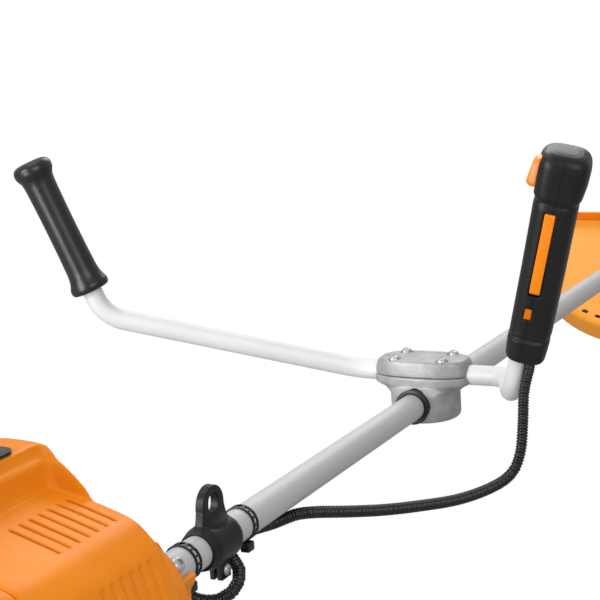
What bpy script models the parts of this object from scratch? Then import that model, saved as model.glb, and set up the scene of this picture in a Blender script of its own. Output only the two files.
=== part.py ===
"""Petrol string trimmer with a bicycle handlebar: straight shaft, engine at the rear, guarded line head in front.

Frame: the shaft runs level along +Y, the operator's right is +X, and +Z is up. The origin is on the ground, in the
middle of the stand's underside. The functions take millimetres, and MM turns them into Blender's metres.
"""

import math

import bmesh
import bpy
from mathutils import Matrix, Vector

MM = 0.001
GAP = 0.3  # clearance between pieces that touch

# Driving dimensions, in millimetres
SHAFT_HEIGHT = 150.0  # ground to the centre of the shaft tube
TUBE_R = 13.0
TUBE_WALL = 1.5
TUBE_START = 92.0  # rear end of the tube, inside the clutch housing
DRIVE_R = 4.0
CLAMP_Y = 600.0  # where the handlebar crosses the tube
HEAD_Y = 1622.0  # centre of the angle gearbox
HEAD_TILT = 30.0  # degrees between the cutting plane and the shaft
BAR_R = 10.0
BAR_RISE = 27.0  # handlebar centre above the tube centre
CONDUIT_R = 5.2
GUARD_R = 215.0
CRANK_REAR = -92.0  # rear face of the crankcase
CYLINDER_Y = -56.0
STARTER_REAR = -137.0
SHROUD_REAR = -116.0
SHROUD_FRONT = 12.0
PINION_TEETH = 12
GEAR_TEETH = 16

ORANGE = (0.83, 0.30, 0.03)
BLACK = (0.018, 0.018, 0.02)
SILVER = (0.62, 0.62, 0.63)
CAST = (0.42, 0.42, 0.43)
STEEL = (0.50, 0.50, 0.52)


# ---------------------------------------------------------------- tools
def empty_scene():
    for obj in list(bpy.data.objects):
        bpy.data.objects.remove(obj, do_unlink=True)
    for name in ("string_trimmer", "cutters"):
        collection = bpy.data.collections.new(name)
        bpy.context.scene.collection.children.link(collection)


def material(name, colour, roughness, metallic=0.0):
    made = bpy.data.materials.new(name)
    made.use_nodes = True
    shader = made.node_tree.nodes["Principled BSDF"]
    shader.inputs["Base Color"].default_value = (*colour, 1.0)
    shader.inputs["Roughness"].default_value = roughness
    shader.inputs["Metallic"].default_value = metallic
    made.diffuse_color = (*colour, 1.0)
    return made


def place(name, data, finish, parent=None, at=(0, 0, 0), turn=None):
    """Adds one named piece; at is in millimetres in its parent's frame."""
    obj = bpy.data.objects.new(name, data)
    bpy.data.collections["string_trimmer"].objects.link(obj)
    obj.parent = parent
    obj.rotation_mode = "QUATERNION"
    obj.location = Vector(at) * MM
    if turn is not None:
        obj.rotation_quaternion = turn
    if finish is not None:
        data.materials.append(finish)
    return obj


def frame(name, at, turn=None, parent=None):
    """An empty that carries the pieces of one assembly."""
    obj = place(name, None, None, parent, at, turn)
    obj.empty_display_size = 0.02
    return obj


def along(axis):
    """Rotation that takes local +Z to the axis."""
    return Vector((0, 0, 1)).rotation_difference(Vector(axis).normalized())


def lathe(name, profile, finish, parent=None, at=(0, 0, 0), axis=(0, 1, 0), steps=28):
    """Turned piece: profile is (radius, height) down the outer side; it closes on itself off the axis."""
    mesh = bpy.data.meshes.new(name)
    points = [(r * MM, 0, h * MM) for r, h in profile]
    on_axis = profile[0][0] == 0 and profile[-1][0] == 0
    edges = [(i, i + 1) for i in range(len(points) - 1)]
    if not on_axis:
        edges.append((len(points) - 1, 0))
    mesh.from_pydata(points, edges, [])
    obj = place(name, mesh, finish, parent, at, along(axis))
    screw = obj.modifiers.new("turn", "SCREW")
    screw.steps = steps
    screw.render_steps = steps
    screw.use_merge_vertices = True
    screw.merge_threshold = 0.00001
    return obj


def rod(name, radius, start, end, finish, parent=None, steps=20):
    """Plain cylinder between two points."""
    a, b = Vector(start), Vector(end)
    length = (b - a).length
    profile = [(0, length), (radius, length), (radius, 0), (0, 0)]
    return lathe(name, profile, finish, parent, a, b - a, steps)


def block(name, low, high, finish, parent=None, bevel=0.0, segments=2, pivot=(0, 0, 0), turn=None):
    """Box between two corners given from the pivot, with rounded edges."""
    mesh = bpy.data.meshes.new(name)
    shape = bmesh.new()
    bmesh.ops.create_cube(shape, size=1.0)
    for vert in shape.verts:
        for i in range(3):
            vert.co[i] = (high[i] if vert.co[i] > 0 else low[i]) * MM
    shape.to_mesh(mesh)
    shape.free()
    obj = place(name, mesh, finish, parent, pivot, turn)
    if bevel:
        rounding = obj.modifiers.new("rounding", "BEVEL")
        rounding.width = bevel * MM
        rounding.segments = segments
    return obj


def plate(name, outlines, thickness, finish, parent=None, at=(0, 0, 0), turn=None):
    """Flat outline in local XY, thickness along local Z; further outlines inside the first are holes."""
    curve = bpy.data.curves.new(name, "CURVE")
    curve.dimensions = "2D"
    curve.fill_mode = "BOTH"
    curve.extrude = thickness * MM / 2
    for outline in outlines:
        spline = curve.splines.new("POLY")
        spline.points.add(len(outline) - 1)
        for point, (x, y) in zip(spline.points, outline):
            point.co = (x * MM, y * MM, 0, 1)
        spline.use_cyclic_u = True
    return as_mesh(place(name, curve, finish, parent, at, turn))


def tube(name, points, radius, finish, parent=None, resolution=2):
    """Round bar or hose through the points."""
    curve = bpy.data.curves.new(name, "CURVE")
    curve.dimensions = "3D"
    curve.bevel_depth = radius * MM
    curve.bevel_resolution = resolution
    curve.use_fill_caps = True
    spline = curve.splines.new("POLY")
    spline.points.add(len(points) - 1)
    for point, place_ in zip(spline.points, points):
        point.co = (*(Vector(place_) * MM), 1)
    return as_mesh(place(name, curve, finish, parent))


def as_mesh(obj):
    """Turns a curve object into a closed mesh object with the same name and place."""
    bpy.context.view_layer.update()
    shape = bpy.data.meshes.new_from_object(obj.evaluated_get(bpy.context.evaluated_depsgraph_get()))
    solid = bmesh.new()
    solid.from_mesh(shape)
    bmesh.ops.remove_doubles(solid, verts=solid.verts, dist=0.000005)
    bmesh.ops.recalc_face_normals(solid, faces=solid.faces)
    solid.to_mesh(shape)
    solid.free()
    name = obj.name
    parent = obj.parent
    spot = obj.location.copy()
    turn = obj.rotation_quaternion.copy()
    bpy.data.objects.remove(obj, do_unlink=True)
    return place(name, shape, None, parent, spot / MM, turn)


def loft(name, rings, finish, parent=None, at=(0, 0, 0), turn=None):
    """Closed skin through rings of equally many points, capped flat at both ends."""
    mesh = bpy.data.meshes.new(name)
    count = len(rings[0])
    points = [Vector(p) * MM for ring in rings for p in ring]
    faces = []
    for row in range(len(rings) - 1):
        for i in range(count):
            a = row * count + i
            b = row * count + (i + 1) % count
            faces.append((a, b, b + count, a + count))
    faces.append(tuple(range(count)))
    faces.append(tuple(range(len(points) - count, len(points))))
    mesh.from_pydata(points, [], faces)
    skin = bmesh.new()
    skin.from_mesh(mesh)
    bmesh.ops.recalc_face_normals(skin, faces=skin.faces)
    skin.to_mesh(mesh)
    skin.free()
    return place(name, mesh, finish, parent, at, turn)


def combine(obj, tool, operation="DIFFERENCE"):
    """Boolean with a tool that is kept apart, as a guide."""
    tool.hide_render = True
    tool.display_type = "WIRE"
    for collection in list(tool.users_collection):
        collection.objects.unlink(tool)
    bpy.data.collections["cutters"].objects.link(tool)
    step = obj.modifiers.new(operation.lower(), "BOOLEAN")
    step.operation = operation
    step.solver = "EXACT"
    step.object = tool
    return obj


def circle(radius, count=24, centre=(0, 0)):
    step = 2 * math.pi / count
    return [(centre[0] + radius * math.cos(i * step), centre[1] + radius * math.sin(i * step)) for i in range(count)]


def arc(radius, start, end, count, centre=(0, 0)):
    """Points on an arc; angles in degrees."""
    angles = [math.radians(start + (end - start) * i / (count - 1)) for i in range(count)]
    return [(centre[0] + radius * math.cos(a), centre[1] + radius * math.sin(a)) for a in angles]


def oval(half_x, half_y, power, count=24):
    """Superellipse outline."""
    outline = []
    for i in range(count):
        c, s = math.cos(2 * math.pi * i / count), math.sin(2 * math.pi * i / count)
        x = half_x * math.copysign(abs(c) ** (2 / power), c)
        y = half_y * math.copysign(abs(s) ** (2 / power), s)
        outline.append((x, y))
    return outline


def hull_of_circles(big, small, drop, count=28):
    """Outline round a circle at the origin and a smaller one below it."""
    lean = math.degrees(math.asin((big - small) / drop))
    upper = arc(big, -lean, 180 + lean, count // 2)
    lower = arc(small, 180 + lean, 360 - lean, count // 2, (0, -drop))
    return upper + lower


def rounded_path(corners, radii, steps=6):
    """Straight runs between the corners, with an arc of the given radius at each inner corner."""
    path = [Vector(corners[0])]
    for before, corner, after, radius in zip(corners, corners[1:], corners[2:], radii):
        before, corner, after = Vector(before), Vector(corner), Vector(after)
        u, v = (before - corner).normalized(), (after - corner).normalized()
        half = u.angle(v) / 2
        reach = radius / math.tan(half)
        centre = corner + (u + v).normalized() * (radius / math.sin(half))
        start, end = corner + u * reach - centre, corner + v * reach - centre
        sweep = start.angle(end)
        for i in range(steps + 1):
            turn = sweep * i / steps
            path.append(centre + (start * math.sin(sweep - turn) + end * math.sin(turn)) / math.sin(sweep))
    path.append(Vector(corners[-1]))
    return path


def smooth_path(points, spacing):
    """Catmull-Rom curve through the points, with a point about every spacing."""
    spots = [Vector(p) for p in points]
    spots = [2 * spots[0] - spots[1]] + spots + [2 * spots[-1] - spots[-2]]
    path = [spots[1]]
    for p0, p1, p2, p3 in zip(spots, spots[1:], spots[2:], spots[3:]):
        steps = max(1, round((p2 - p1).length / spacing))
        for i in range(1, steps + 1):
            t = i / steps
            path.append(
                0.5 * (2 * p1 + (p2 - p0) * t + (2 * p0 - 5 * p1 + 4 * p2 - p3) * t**2
                       + (3 * p1 - p0 - 3 * p2 + p3) * t**3)
            )
    return path


def star(teeth, root, tip, height, count=4):
    """Ring of gear-tooth points at one height."""
    ring = []
    for i in range(teeth * count):
        angle = 2 * math.pi * i / (teeth * count)
        radius = tip if i % count in (0, 1) else root
        ring.append((radius * math.cos(angle), radius * math.sin(angle), height))
    return ring


def screw_profile(head_r, head_h, shank_r, length):
    """Button-head screw with its head's underside at height 0."""
    crown = [(0, head_h), (head_r * 0.55, head_h), (head_r * 0.9, head_h * 0.6), (head_r, 0)]
    return crown + [(shank_r, 0), (shank_r, -length), (0, -length)]


# ---------------------------------------------------------------- finishes
def make_finishes():
    return {
        "orange": material("orange_plastic", ORANGE, 0.32),
        "orange_cast": material("orange_paint", ORANGE, 0.38),
        "black": material("black_plastic", BLACK, 0.5),
        "rubber": material("black_rubber", BLACK, 0.7),
        "silver": material("satin_aluminium", SILVER, 0.34, 0.9),
        "cast": material("cast_aluminium", CAST, 0.5, 0.8),
        "steel": material("steel", STEEL, 0.3, 1.0),
        "screw": material("bright_screw", (0.72, 0.72, 0.74), 0.2, 1.0),
        "tank": material("tank_plastic", (0.75, 0.74, 0.70), 0.4),
        "foam": material("filter_foam", (0.10, 0.10, 0.11), 0.9),
        "ceramic": material("ceramic", (0.8, 0.8, 0.78), 0.2),
    }


# ---------------------------------------------------------------- shaft and drive
def make_shaft(look, root):
    start, end = TUBE_START, HEAD_Y - 26
    inner = TUBE_R - TUBE_WALL
    ring = [(inner, end), (TUBE_R, end), (TUBE_R, start), (inner, start)]
    lathe("shaft_tube", ring, look["silver"], root, (0, 0, SHAFT_HEIGHT), steps=28)
    rod("drive_shaft", DRIVE_R, (0, 66, SHAFT_HEIGHT), (0, HEAD_Y - 36, SHAFT_HEIGHT), look["steel"], root, 12)
    bush = [(DRIVE_R + GAP, 870), (inner - GAP, 870), (inner - GAP, 830), (DRIVE_R + GAP, 830)]
    lathe("shaft_bush", bush, look["rubber"], root, (0, 0, SHAFT_HEIGHT), steps=16)


# ---------------------------------------------------------------- handlebar, clamp and grips
LEFT_BEND = Vector((-72, 0, BAR_RISE))
LEFT_ELBOW = Vector((-296, -124, 100))
LEFT_UP = Vector((-0.312, -0.166, 0.935)).normalized()
RIGHT_BEND = Vector((88, 0, BAR_RISE))
RIGHT_ELBOW = Vector((109, -50, 21))
RIGHT_UP = Vector((0.278, -0.168, 0.946)).normalized()
LEFT_GRIP_START = 30.0  # from the elbow, along the upright
THROTTLE_START = 46.0
GRIP_TWIST = 13.0  # degrees: the grip faces the operator's right a little


def make_handlebar(look, clamp):
    corners = [
        LEFT_ELBOW + LEFT_UP * 160,
        LEFT_ELBOW,
        LEFT_BEND,
        RIGHT_BEND,
        RIGHT_ELBOW,
        RIGHT_ELBOW + RIGHT_UP * 160,
    ]
    path = rounded_path(corners, (42, 60, 24, 27))
    tube("handlebar", path, BAR_R, look["silver"], clamp, 3)


def make_clamp(look, clamp):
    half_x, half_y = 50.0, 26.0
    parting, top, waist, bottom = BAR_RISE, 43.5, 13.0, -18.0
    body = [(x, y, parting - 0.15) for x, y in oval(half_x, half_y, 2.6, 32)]
    rings = [body]
    for height, grow in ((parting - 9, 1.0), (waist, 0.88)):
        rings.append([(x * grow, y * grow, height) for x, y, _ in body])
    base = loft("clamp_base", rings, look["cast"], clamp)
    drum = [(0, waist + 6), (35, waist + 6), (35, bottom + 3), (32, bottom), (0, bottom)]
    combine(base, lathe("drum", drum, None, clamp, axis=(0, 0, 1), steps=32), "UNION")
    combine(base, rod("tube_bore", 16.3, (0, -60, 0), (0, 60, 0), None, clamp, 28))
    combine(base, rod("bar_bore_low", BAR_R + GAP, (-70, 0, BAR_RISE), (70, 0, BAR_RISE), None, clamp, 20))
    crown = [(1.0, parting + 0.15), (1.0, top - 6), (0.97, top - 2), (0.88, top)]
    cap_rings = [[(x * grow, y * grow, height) for x, y in oval(half_x, half_y, 2.6, 32)] for grow, height in crown]
    cap = loft("clamp_cap", cap_rings, look["cast"], clamp)
    combine(cap, rod("bar_bore_high", BAR_R + GAP, (-70, 0, BAR_RISE), (70, 0, BAR_RISE), None, clamp, 20))
    ring = [(TUBE_R + GAP, 37), (16, 37), (16, -37), (TUBE_R + GAP, -37)]
    lathe("clamp_bush", ring, look["rubber"], clamp, steps=28)
    seats = [("front_left", -1, 1), ("front_right", 1, 1), ("rear_left", -1, -1), ("rear_right", 1, -1)]
    for name, side, end in seats:
        spot = (side * 25.5, end * 15.8, 0)
        hole = rod("screw_hole_" + name, 3.3, (*spot[:2], 8), (*spot[:2], 50), None, clamp, 12)
        combine(base, hole)
        cap_hole = rod("cap_hole_" + name, 3.3, (*spot[:2], 20), (*spot[:2], 50), None, clamp, 12)
        combine(cap, cap_hole)
        seat = rod("screw_seat_" + name, 6.4, (*spot[:2], top - 2.0), (*spot[:2], top + 6), None, clamp, 16)
        combine(cap, seat)
        profile = screw_profile(5.4, 3.6, 3.0, 30)
        lathe("clamp_screw_" + name, profile, look["screw"], clamp, (*spot[:2], top - 1.7), (0, 0, 1), 16)


def make_left_grip(look, clamp):
    start = LEFT_ELBOW + LEFT_UP * LEFT_GRIP_START
    bore = BAR_R + GAP
    profile = [(0, 142), (13, 142), (18.4, 138), (18.6, 131), (15.8, 121), (15.2, 70), (15.8, 18), (18.2, 9),
               (18.0, 2), (16.2, 0), (bore, 0), (bore, 132), (0, 132)]
    lathe("left_grip", profile, look["rubber"], clamp, start, LEFT_UP, 20)


def throttle_turn():
    """Grip frame: Z up the upright, Y away from the operator."""
    forward = (Vector((0, 1, 0)) - RIGHT_UP * RIGHT_UP.y).normalized()
    right = forward.cross(RIGHT_UP)
    turn = Matrix((right, forward, RIGHT_UP)).transposed()
    return (turn @ Matrix.Rotation(math.radians(GRIP_TWIST), 3, "Z")).to_quaternion()


# height, half width, half depth, shift in X, shift in Y
GRIP_SECTIONS = (
    (0.0, 15.0, 14.0, 4.5, -2.5),
    (4.0, 18.4, 17.6, 4.5, -2.5),
    (25.0, 19.6, 18.6, 4.5, -2.0),
    (28.0, 19.2, 18.4, 4.6, -0.6),
    (31.0, 19.4, 18.8, 4.8, 0.0),
    (90.0, 19.8, 19.2, 4.8, 0.0),
    (154.0, 20.2, 20.4, 4.2, 1.0),
    (159.5, 20.0, 20.0, 4.2, 1.5),
    (163.5, 21.6, 21.6, 4.3, 2.5),
    (176.0, 23.2, 24.4, 4.6, 5.5),
    (188.0, 23.4, 25.4, 4.8, 6.5),
    (198.5, 22.0, 24.0, 4.6, 6.5),
    (204.0, 17.0, 19.0, 4.4, 6.0),
)


def grip_body(name, look, grip):
    rings = []
    for height, half_x, half_y, shift_x, shift_y in GRIP_SECTIONS:
        rings.append([(x + shift_x, y + shift_y, height) for x, y in oval(half_x, half_y, 2.7, 20)])
    return loft(name, rings, look, grip)


def make_throttle_grip(look, clamp):
    start = RIGHT_ELBOW + RIGHT_UP * THROTTLE_START
    grip = frame("throttle_frame", start, throttle_turn(), clamp)
    for name, side in (("throttle_shell_left", -1), ("throttle_shell_right", 1)):
        shell = grip_body(name, look["black"], grip)
        tag = name[-5:]
        low, high = (-0.15, 60) if side < 0 else (-60, 0.15)
        combine(shell, block("half_" + tag, (low, -60, -20), (high, 60, 260), None, grip))
        combine(shell, rod("bar_room_" + tag, BAR_R + GAP, (0, 0, -20), (0, 0, 117), None, grip, 20))
        combine(shell, rod("conduit_socket_" + tag, CONDUIT_R + GAP, (10.8, -11.2, -20), (10.8, -11.2, 12),
                           None, grip, 16))
        combine(shell, block("mechanism_room_" + tag, (-10, -12, 124), (18, 17, 196), None, grip))
        combine(shell, block("lever_slot_" + tag, (-3.0, -40, 70.5), (7.4, -13.2, 152.5), None, grip))
        combine(shell, block("trigger_slot_" + tag, (-2.3, 10, 134), (10.3, 60, 190), None, grip))
        combine(shell, block("switch_slot_" + tag, (-40, -9.3, 166), (-4, 5.3, 199.5), None, grip))
        combine(shell, block("window_" + tag, (-3.4, -40, 46), (3.4, -14.5, 57), None, grip))
    # lockout lever: pivots at its top end, its face stands a little proud of the shell
    lever = [(0, 1), (0, -4.2), (-73, -5.2), (-78, -3.5), (-78, -1)]
    turn = Matrix.Rotation(math.radians(90), 4, "Y").to_quaternion()
    plate("lockout_lever", [[(-z, y) for z, y in lever]], 9.6, look["orange"], grip, (2.2, -16.2, 151), turn)
    trigger = [(0, 9), (-9, 7), (-16, -2), (-20, -12), (-19.5, -22), (-15, -30), (-11, -33), (-8, -28), (-6, -12),
               (2, -9), (8, -2), (6, 6)]
    plate("throttle_trigger", [trigger], 11.6, look["orange"], grip, (4, 21, 176),
          Matrix(((0, 0, -1), (-1, 0, 0), (0, 1, 0))).to_quaternion())
    rocker = [(-13.5, -2), (-13.5, 6), (-10, 9.5), (10, 6.5), (14, 2), (14, -2)]
    plate("stop_switch", [rocker], 13.4, look["orange"], grip, (-16, -2, 183),
          Matrix(((0, -1, 0), (0, 0, -1), (1, 0, 0))).to_quaternion())
    return grip


# ---------------------------------------------------------------- throttle conduit, straps, hanger
STRAP_LEAN = 38.0  # degrees: the conduit lies under the tube, towards the left
STRAP_REACH = TUBE_R + CONDUIT_R + 1.0


def strap_spot(y):
    lean = math.radians(STRAP_LEAN)
    return (-STRAP_REACH * math.sin(lean), y, -STRAP_REACH * math.cos(lean))


# route of the throttle conduit from the grip to the carburettor, from the handlebar clamp's centre
CONDUIT_ROUTE = (
    (127, -67, 30), (126, -69, 5), (124, -74, -25), (118, -85, -43), (106, -109, -50), (89, -147, -50),
    (69, -189, -44), (51, -226, -37), (34, -262, -28), (19, -290, -20.5), (8, -307, -18), (-2, -324, -20),
    (-9, -345, -18.5), strap_spot(-370), strap_spot(-377), strap_spot(-388), (-8.5, -394.5, -19.5),
    (0.5, -399, -24.5), (7.5, -403.5, -29.5), (11, -411, -36), (9.5, -420, -42), (4, -430, -45), (-3, -440, -43),
    (-9, -449, -37), (-12, -456, -27), strap_spot(-463), strap_spot(-470), strap_spot(-477), (-15, -482, -23),
    (-18, -488, -27), (-25, -496, -29), (-40, -510, -28), (-58, -535, -20), (-66, -562, -2), (-66, -585, 20),
    (-66, -612, 34),
)


def make_conduit(look, clamp, grip):
    start = RIGHT_ELBOW + RIGHT_UP * THROTTLE_START
    socket = grip.rotation_quaternion @ Vector((10.8, -11.2, 0)) + start
    lead = [socket + RIGHT_UP * 11, socket, socket - RIGHT_UP * 10]
    tube("throttle_conduit", smooth_path(lead + list(CONDUIT_ROUTE), 16), CONDUIT_R, look["black"], clamp, 1)
    turn = Matrix.Rotation(math.radians(STRAP_LEAN), 4, "Y") @ Matrix.Rotation(math.radians(90), 4, "X")
    for name, y in (("conduit_strap_front", -383), ("conduit_strap_rear", -470)):
        inner = hull_of_circles(TUBE_R + GAP, CONDUIT_R + 0.5, STRAP_REACH)
        outer = hull_of_circles(TUBE_R + 1.7, CONDUIT_R + 1.9, STRAP_REACH)
        plate(name, [outer, inner], 7.5, look["black"], clamp, (0, y, 0), turn.to_quaternion())


def make_hanger(look, clamp):
    """Split collar round the tube, with an eyelet on top and two ears below that a bolt draws together."""
    rear, front, eye_y = -450, -407, -427
    bore = TUBE_R + GAP
    ring = [(bore, front), (15.8, front), (17.6, front - 5), (17.6, rear + 9), (15.4, rear), (bore, rear)]
    hanger = lathe("harness_hanger", ring, look["black"], clamp, steps=24)
    eye = arc(15, -6, 186, 11, (0, 30.5)) + [(-16.5, 22), (-20.5, 16), (-20.5, 12), (20, 12), (20, 16), (16.5, 22)]
    hole = oval(7.4, 8.6, 2.2, 14)
    eyelet = plate("eyelet", [eye, [(x, y + 31.5) for x, y in hole]], 7, None, clamp, (0, eye_y, 0),
                   Matrix(((0, 0, 1), (1, 0, 0), (0, 1, 0))).to_quaternion())
    combine(hanger, eyelet, "UNION")
    ears = block("ears", (-8, eye_y + 5, -33), (3, eye_y + 19, -14), None, clamp, 1.5)
    combine(hanger, ears, "UNION")
    combine(hanger, block("split", (-4, -500, -40), (-1.5, -380, -10), None, clamp))
    bolt_y = eye_y + 12
    combine(hanger, rod("bolt_hole", 2.8, (-20, bolt_y, -26), (20, bolt_y, -26), None, clamp, 12))
    combine(hanger, rod("tube_room", bore + 0.1, (0, -500, 0), (0, -350, 0), None, clamp, 24))
    lathe("hanger_bolt", screw_profile(4.6, 2.4, 2.4, 12), look["screw"], clamp, (3.3, bolt_y, -26), (1, 0, 0), 14)


# ---------------------------------------------------------------- engine
def make_engine_front(look, engine):
    """Clutch housing with an open cradle under the tube, and a screw that holds the tube from above."""
    housing = [(TUBE_R + GAP, 117), (19.5, 117), (19.5, 98), (34, 84), (50, 62), (50, 36), (46, 36), (46, 60),
               (30, 80), (17, 90), (TUBE_R + GAP, 90)]
    clutch = lathe("clutch_housing", housing, look["orange_cast"], engine, steps=24)
    combine(clutch, block("cradle_room", (-40, 90.5, -1), (40, 130, 40), None, engine))
    combine(clutch, block("cradle_foot", (-8, 93, -33), (15, 115, -12), None, engine, 1.5), "UNION")
    combine(clutch, rod("cradle_bore", TUBE_R + GAP, (0, 88, 0), (0, 130, 0), None, engine, 24))
    out = Vector((0.78, 0, 0.625)).normalized()
    seat = out * (TUBE_R + GAP) + Vector((0, 105, 0))
    combine(bpy.data.objects["shaft_tube"], rod("screw_room", 2.8, seat - out * 9, seat + out * 9, None, engine, 12))
    lathe("tube_clamp_screw", screw_profile(6.2, 4.2, 2.4, 5.0), look["screw"], engine, seat + out * 0.5, out, 16)
    drum = [(DRIVE_R + GAP, 78), (8, 78), (8, 66), (36, 62), (36, 46), (33.5, 46), (33.5, 59.5),
            (DRIVE_R + GAP, 62)]
    lathe("clutch_drum", drum, look["steel"], engine, steps=20)
    for name, side in (("clutch_shoe_right", 0), ("clutch_shoe_left", 180)):
        shoe = arc(32.6, side - 72, side + 72, 11) + arc(12.5, side + 60, side - 60, 7)
        plate(name, [shoe], 9, look["steel"], engine, (0, 53, 0),
              Matrix.Rotation(math.radians(90), 4, "X").to_quaternion())
    fan_housing = [(46.5, 35.7), (50, 35.7), (50, -14), (16, -14), (16, -11), (46.5, -11)]
    lathe("fan_housing", fan_housing, look["black"], engine, steps=24)
    wheel = [(5.3, 58), (10.5, 58), (10.5, 10), (44, 8), (44, -6), (14, -8), (5.3, -8)]
    flywheel = lathe("flywheel", wheel, look["cast"], engine, steps=20)
    blades = plate("blades", [[p[:2] for p in star(12, 28, 43, 0)]], 14, None, engine, (0, 13, 0),
                   Matrix.Rotation(math.radians(90), 4, "X").to_quaternion())
    combine(flywheel, blades, "UNION")
    combine(flywheel, rod("hub_bore", 5.3, (0, -20, 0), (0, 70, 0), None, engine, 16))


def make_engine_core(look, engine):
    case = [(6.3, -16), (34, -16), (34, CRANK_REAR), (6.3, CRANK_REAR), (6.3, -76), (27, -76), (27, -36),
            (6.3, -36)]
    crankcase = lathe("crankcase", case, look["cast"], engine, steps=20)
    combine(crankcase, block("deck", (-60, -100, 28), (60, 0, 60), None, engine))
    combine(crankcase, rod("bore_room", 17.8, (0, CYLINDER_Y, 15), (0, CYLINDER_Y, 60), None, engine, 24))
    foot = block("foot", (-24, -76, -73.6), (24, -36, -30), None, engine, 1.5)
    combine(crankcase, foot, "UNION")
    y = CYLINDER_Y
    front = [(0, 57), (5, 57), (5, -10), (6, -10), (6, y + 12), (24, y + 12), (24, y + 4), (0, y + 4)]
    crankshaft = lathe("crankshaft", front, look["steel"], engine, steps=16)
    rear = [(0, y - 4), (24, y - 4), (24, y - 12), (6, y - 12), (6, -94), (5, -94), (5, -112), (0, -112)]
    combine(crankshaft, lathe("crank_rear", rear, None, engine, steps=16), "UNION")
    combine(crankshaft, rod("crank_pin", 5, (0, y + 5, 13), (0, y - 5, 13), None, engine, 14), "UNION")
    # finned cylinder with a plain bore
    fins = [(0, 77), (30, 77), (30, 75)]
    for i in range(4):
        height = 67.5 - i * 9.5
        fins += [(22, height + 7.5), (22, height), (30, height), (30, height - 2)]
    fins += [(22, 37), (22, 34), (24, 34), (24, 28.3), (17, 28.3), (17, 69), (0, 69)]
    cylinder = lathe("cylinder", fins, look["cast"], engine, (0, CYLINDER_Y, 0), (0, 0, 1), 16)
    plug_base = Vector((-23, CYLINDER_Y, 81.5))
    plug_up = Vector((-0.5, 0, 1)).normalized()
    combine(cylinder, rod("plug_hole", 5.3, plug_base - plug_up * 20, plug_base + plug_up * 9, None, engine, 12))
    crown = [(0, 62), (16.7, 62), (16.7, 40), (14, 40), (14, 57), (0, 57)]
    piston = lathe("piston", crown, look["cast"], engine, (0, CYLINDER_Y, 0), (0, 0, 1), 24)
    combine(piston, rod("gudgeon_pin", 2.2, (-15.5, CYLINDER_Y, 47), (15.5, CYLINDER_Y, 47), None, engine, 12),
            "UNION")
    link = block("connecting_rod", (-5, CYLINDER_Y - 3.7, 25), (5, CYLINDER_Y + 3.7, 52), look["steel"], engine, 1.0)
    combine(link, rod("rod_eye", 2.5, (-20, CYLINDER_Y, 47), (20, CYLINDER_Y, 47), None, engine, 12))
    plug = [(0, 24), (3.2, 24), (3.4, 12), (6.5, 12), (8.0, 8), (8.0, 0.4), (5.0, 0.4), (5.0, -10), (0, -10)]
    lathe("spark_plug", plug, look["ceramic"], engine, plug_base, plug_up, 14)
    cap = [(0, 30), (6, 30), (8.5, 27), (9, 12.4), (3.7, 12.4), (3.7, 24.3), (0, 24.3)]
    lathe("plug_cap", cap, look["rubber"], engine, plug_base, plug_up, 16)
    muffler = block("muffler", (36, -88, -6), (63, -24, 46), look["steel"], engine, 6)
    combine(muffler, rod("muffler_neck", 6, (30.4, CYLINDER_Y, 40), (45, CYLINDER_Y, 40), None, engine, 16), "UNION")
    combine(muffler, rod("outlet", 5, (55, CYLINDER_Y, 12), (82, CYLINDER_Y, 12), None, engine, 14), "UNION")


def make_intake(look, engine):
    y = CYLINDER_Y
    carb = block("carburettor", (-73, y - 19, 26), (-46, y + 19, 68), look["cast"], engine, 2.5)
    combine(carb, block("manifold", (-50, y - 15, 32), (-30.5, y + 15, 60), None, engine, 2), "UNION")
    combine(carb, block("filter_base", (-79, -95, 14), (-72, -17, 82), None, engine, 1.5), "UNION")
    combine(carb, rod("venturi", 8, (-85, y, 47), (-25, y, 47), None, engine, 16))
    combine(carb, rod("bulb_room", 9.6, (-60, y, 20), (-60, y, 33), None, engine, 16))
    dome = [(0, 8), (9, 8), (9, 2), (7.5, -3), (4, -5.5), (0, -6)]
    lathe("primer_bulb", dome, look["rubber"], engine, (-60, y, 19), (0, 0, 1), 16)
    cam = arc(8, 90, 330, 9) + [(4, 2)]
    plate("throttle_cam", [cam], 2.4, look["steel"], engine, (-59, y + 22, 50),
          Matrix.Rotation(math.radians(90), 4, "X").to_quaternion())
    cover = block("air_filter_cover", (-112, -95, 14), (-79.3, -17, 82), look["black"], engine, 6, 3)
    combine(cover, block("filter_room", (-104, -89, 20), (-70, -23, 76), None, engine))
    lever = arc(6, 60, 300, 8) + [(22, -3.4), (24, 0), (22, 3.4)]
    plate("choke_lever", [lever], 3, look["orange"], engine, (-76, -97.4, 50),
          Matrix.Rotation(math.radians(90), 4, "X").to_quaternion())


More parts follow.
